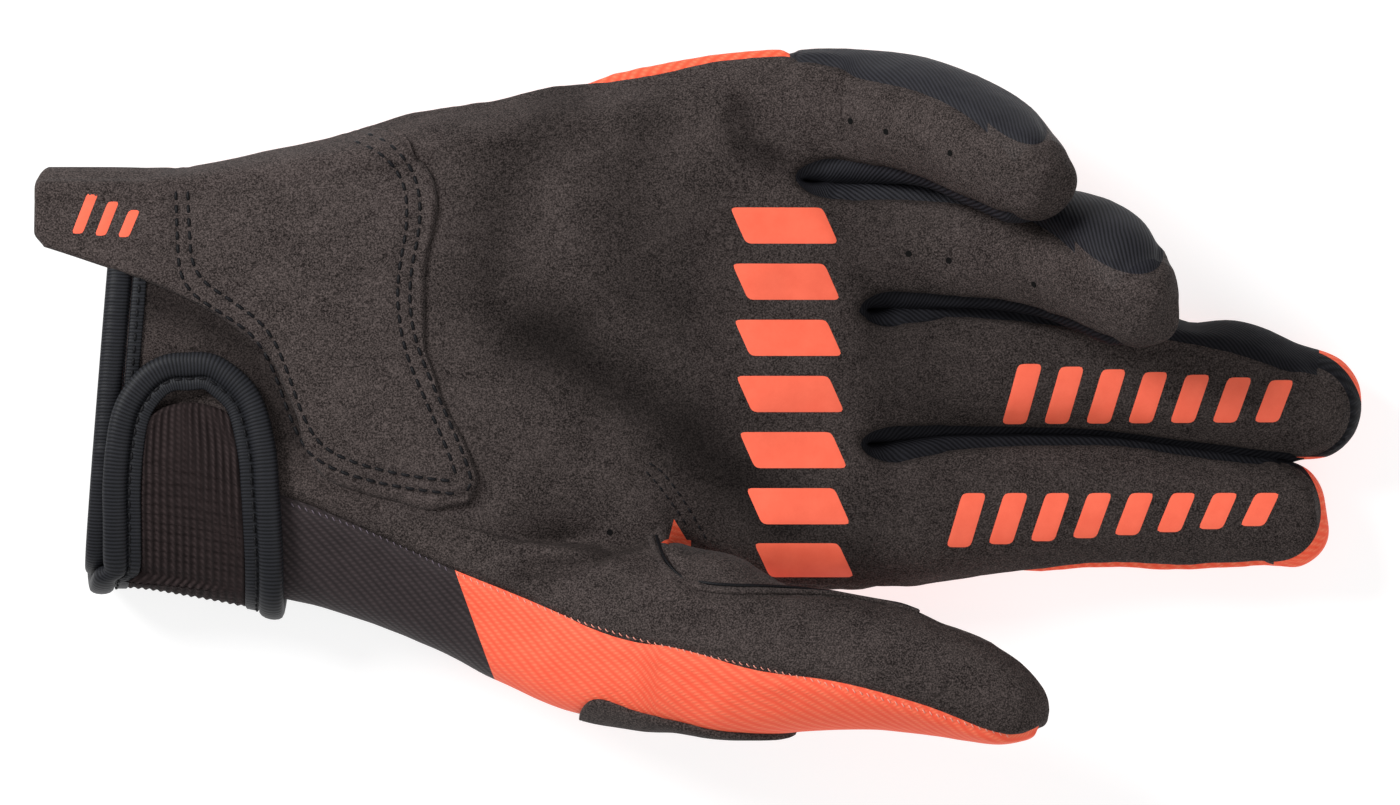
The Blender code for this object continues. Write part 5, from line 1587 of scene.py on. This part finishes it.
def wristFlap():
    across, down = flap["grid"]
    centres, _, sides = flapFrames(flap["rows"])
    inner = centres - sides * (halfEdging - 0.2)
    places, normals = np.zeros((across, down, 3)), np.zeros((across, down, 3))
    last = len(inner) - 1
    for j in range(down):
        share = j / (down - 1)
        k = int(round(flapArch * last * share ** flapRowPower))
        left, right = inner[k], inner[last - k]
        rise = unit((inner[k + 1] + inner[last - k - 1]) - (left + right))
        for i in range(across):
            u = i / (across - 1)
            guess = mix(left, right, u) + rise * 4 * u * (1 - u) * flapCrest * share ** flapCrestPower
            places[i, j], normals[i, j] = skin.lay(guess)
    for grid in (places[:, :, 2:], normals):
        grid[:] = evened(evened(grid, flap["even"]).swapaxes(0, 1), flap["even"]).swapaxes(0, 1)
    normals = unit(normals)
    flatX = places[:, :, 0].reshape(-1)
    fade = np.tile(np.clip(np.linspace(0, 10, down), 0, 1), across)  # flat at the lower edge
    ribs = flap["ribHeight"] * fade * np.sin(flatX * 2 * math.pi / flap["ribPitch"])
    return sheetPiece("wristFlap", places, normals, flapLift + 0.1, flapWall - 0.5, knitFinish, ribs)


edgingPiece, edgingSeam, edgingOuts = flapEdging()
finished(edgingPiece, "binding", "flap_binding")
finished(wristFlap()[0], "knit", "wrist_flap")
thread = Thread(pitch=2.2, radius=flap["thread"])
thread.along(edgingSeam, edgingOuts)


def cuffBinding():
    laid = []
    for angle in np.arange(cuff["stations"]) * 360 / cuff["stations"]:
        guess = handPoint(0.0, angle)
        laid.append(skin.wrist(cuffX(guess[1] / knuckleWidth) / handLength, angle))
    centres, outs = (np.array(part) for part in zip(*laid))
    sides = np.array([[1.0, 0.0, 0.0]] * len(centres))
    roll = [(pipingWidth / 2 - math.cos(t) * pipingWidth / 2, -0.4 + 1.25 * math.sin(t))
            for t in np.linspace(0, math.pi, 10)]
    roll += [(pipingWidth - 0.1, -0.9), (pipingWidth - 0.8, -1.4), (0.8, -1.4), (0.1, -0.9)]
    piece = bandPiece("cuffBinding", centres, outs, sides, roll, bindingFinish, closed=True)
    tapeCentres, tapeOuts = skin.layAll(centres + sides * (pipingWidth + 2 * seamGap + cuff["tapeStart"]))
    tape = [(0.0, 0.02), (0.0, 0.30), (0.3, 0.48)]
    tape += [(tapeWidth - place, height) for place, height in tape[::-1]]
    under = tapeCentres - sides * cuff["tapeOverlap"]
    tapePiece = bandPiece("cuffTape", under, tapeOuts, sides, tape, bindingFinish, closed=True)
    return piece, tapePiece, under + sides * (tapeWidth / 2) + tapeOuts * 0.45, tapeOuts


cuffPiece, tapePiece, cuffSeam, cuffOuts = cuffBinding()
finished(cuffPiece, "binding", "cuff_binding")
finished(tapePiece, "binding")
thread.along(cuffSeam, cuffOuts)
finished(thread.piece("bindingStitching", threadFinish), "binding")
print("flap and cuff bound")

# Pad on the outside of the thumb
thumbPad = dict(
    grid=(90, 60), thick=1.1,
    reach=(-0.15, 0.37),  # shares of the thumb's length
    top=(48, 6), corner=-20, low=-82,  # angles of its upper edge, of its upper corners and of its lower edge
)


def thumbPatch():
    across, down = thumbPad["grid"]
    places, normals = np.zeros((across, down, 3)), np.zeros((across, down, 3))
    for i in range(across):
        u = i / (across - 1)
        reach = mix(*thumbPad["reach"], u)
        high = mix(thumbPad["corner"], mix(*thumbPad["top"], u), 1 - abs(2 * u - 1) ** 8)
        for j in range(down):
            angle = mix(high, thumbPad["low"], j / (down - 1))
            places[i, j], normals[i, j] = skin.lay(fingerPoint("thumb", reach, angle))
    return sheetPiece("thumbPatch", places, normals, 0.05, thumbPad["thick"], palmFinish)


finished(thumbPatch()[0], "thumb_suede", "thumb_patch")


def cordOver(name, line, radius, offset, material):
    centres, outs = dropped((skin.tree,), line, 0.6)
    centres, outs = evened(centres, 4), evened(outs, 8)
    ahead = np.gradient(centres, axis=0)
    sides = unit(np.cross(outs, ahead))
    turns = np.linspace(0, 2 * math.pi, 9)[:-1]
    ring = [(radius * math.cos(t) + offset, radius * math.sin(t) * 0.8) for t in turns]
    return bandPiece(name, centres, outs, sides, ring, material)


# Edge of the thumb's inner piece as two raised seams, and the dart beside the web
innerEdge = ((650, 535), (655, 552), (665, 568), (690, 586), (725, 590), (770, 590), (830, 592), (880, 600),
             (930, 615), (962, 627))
finished(cordOver("innerEdgeRoll", innerEdge, 0.62, 0.0, palmFinish), "palm_suede")
finished(cordOver("innerEdgeThread", innerEdge, 0.28, 1.1, threadFinish), "binding")
thread = Thread(pitch=1.8, radius=0.16)
thread.overTop((skin.tree,), ((648, 462), (662, 470), (684, 500), (700, 528), (716, 556)))
thread.overTop((skin.tree,), ((645, 470), (655, 480), (676, 508), (692, 534)))
finished(thread.piece("dartStitching", threadFinish), "binding")

# Flecks of thread along the seam of the thumb's textile, dark on the black and bright on the orange
seamLine = ((290, 500), (340, 517), (400, 541), (455, 569), (520, 595), (600, 624), (680, 645), (760, 662),
            (850, 684), (950, 714), (1015, 733))
for name, first, last in (("darkFlecks", 0, 4), ("brightFlecks", 3, 11)):
    thread = Thread(pitch=1.3, radius=0.10, turn=-38)
    thread.overTop((skin.tree,), [(x, y + 3.5) for x, y in seamLine[first:last]])
    material = ribbed(name, name, 0.5, 40, roughness=0.7, depth=0.01)
    finished(thread.piece(name, material), "orange_textile")
print("thumb finished")

# Prints, in plain leaning bars
palmBars = ((784, 226, 92, 36), (786, 282, 92, 36), (788, 338, 92, 36), (790, 394, 92, 36),
            (793, 450, 92, 36), (798, 506, 88, 36), (804, 560, 84, 34))
marks = dict(
    palm=[bar(*place, -16) for place in palmBars],
    middle=[bar(1022 + 42 * k, 394 + 1.2 * k, 24, 60 - 3 * k, 16) for k in range(7)],
    index=[bar(966 + 42 * k, 520 - 1.5 * k, 24, 54 - 3 * k, 16) for k in range(8)],
    tab=[bar(86, 214, 11, 40, 15, 3), bar(108, 219, 11, 34, 13, 3), bar(130, 224, 11, 27, 11, 3)],
)
tops = (skin.tree, heelTree)
for place, outlines in marks.items():
    finished(printedMark(place + "Print", outlines, tops, printFinish), "orange_textile")
print("prints laid")


# Each punched hole is a near black disc laid on the cloth: painted shade standing in for the open hole
def punched(spots, radius=0.58):
    points, faces = [], []
    for spot in spots:
        place, normal = drop((skin.tree,), *fromPhoto(*spot))
        side = np.cross(normal, (1.0, 0.0, 0.0))
        side /= np.linalg.norm(side)
        other = np.cross(normal, side)
        start, count = len(points), 16
        for size, lift in ((1.0, 0.04), (0.9, 0.14), (0.4, 0.10)):
            points += [place + normal * lift + (side * math.cos(2 * math.pi * k / count)
                       + other * math.sin(2 * math.pi * k / count)) * radius * size for k in range(count)]
        for ring in range(2):
            for k in range(count):
                a, b = start + ring * count + k, start + ring * count + (k + 1) % count
                faces.append((a, b, b + count, a + count))
        faces.append(tuple(start + 2 * count + k for k in range(count)))
    return meshPiece("punchedHoles", points, faces, holeShadeFinish)


holes = ((850, 122), (885, 133), (948, 155), (908, 254), (948, 261), (1032, 285), (610, 532))
finished(punched(holes), "binding")

# Camera, floor and light
view = dict(height=3.0, middle=(photo["width"] / 2, photo["height"] / 2), sensor=36.0,
            scaleAt=0.02)  # the picture is true to scale 20 mm above the floor
room = dict(floorZ=-0.0002, glow=0.76, floorTones=((0.36, 0.36, 0.36), (0.38, 0.38, 0.38)), world=0.42)
camera = bpy.data.objects.new("camera", bpy.data.cameras.new("camera"))
camera.data.sensor_fit = "HORIZONTAL"
camera.data.sensor_width = view["sensor"]
span = photo["width"] * photo["pixel"] * mm
camera.data.lens = view["sensor"] * (view["height"] - view["scaleAt"]) / span
camera.data.clip_end = 20.0
x, y = fromPhoto(*view["middle"])
camera.location = ((x + seat[0]) * mm, (y + seat[1]) * mm, view["height"])
scene.collection.objects.link(camera)
scene.camera = camera

floorMesh = bpy.data.meshes.new("floor")
corners = [(*spot, room["floorZ"]) for spot in ((-3, -3), (3, -3), (3, 3), (-3, 3))]
floorMesh.from_pydata(corners, [], [(0, 1, 2, 3)])
f = Finish("paleFloor", Emission_Color=(1.0, 1.0, 1.0, 1.0), Emission_Strength=room["glow"],
           Specular_IOR_Level=0.0)
dust = f.speck(60.0, 2.0)
floorMesh.materials.append(f.close(f.blend(dust, *room["floorTones"]), 0.8, dust, 0.01))
floor = bpy.data.objects.new("floor", floorMesh)
scene.collection.objects.link(floor)

world = bpy.data.worlds.new("studio")
world.use_nodes = True
world.node_tree.nodes["Background"].inputs["Color"].default_value = (1.0, 1.0, 1.0, 1)
world.node_tree.nodes["Background"].inputs["Strength"].default_value = room["world"]
scene.world = world

lamps = dict(
    key=dict(at=(-0.85, 0.60, 0.95), size=0.55, power=17.0),
    fill=dict(at=(0.45, -0.55, 1.25), size=1.1, power=4.0),
)
for name, lamp in lamps.items():
    light = bpy.data.lights.new(name, "AREA")
    light.shape, light.size, light.energy = "DISK", lamp["size"], lamp["power"]
    holder = bpy.data.objects.new(name, light)
    holder.location = lamp["at"]
    holder.rotation_euler = (Vector((0, 0, 0)) - holder.location).to_track_quat("-Z", "Y").to_euler()
    scene.collection.objects.link(holder)
scene.view_settings.view_transform = "Standard"
scene.view_settings.look = "None"
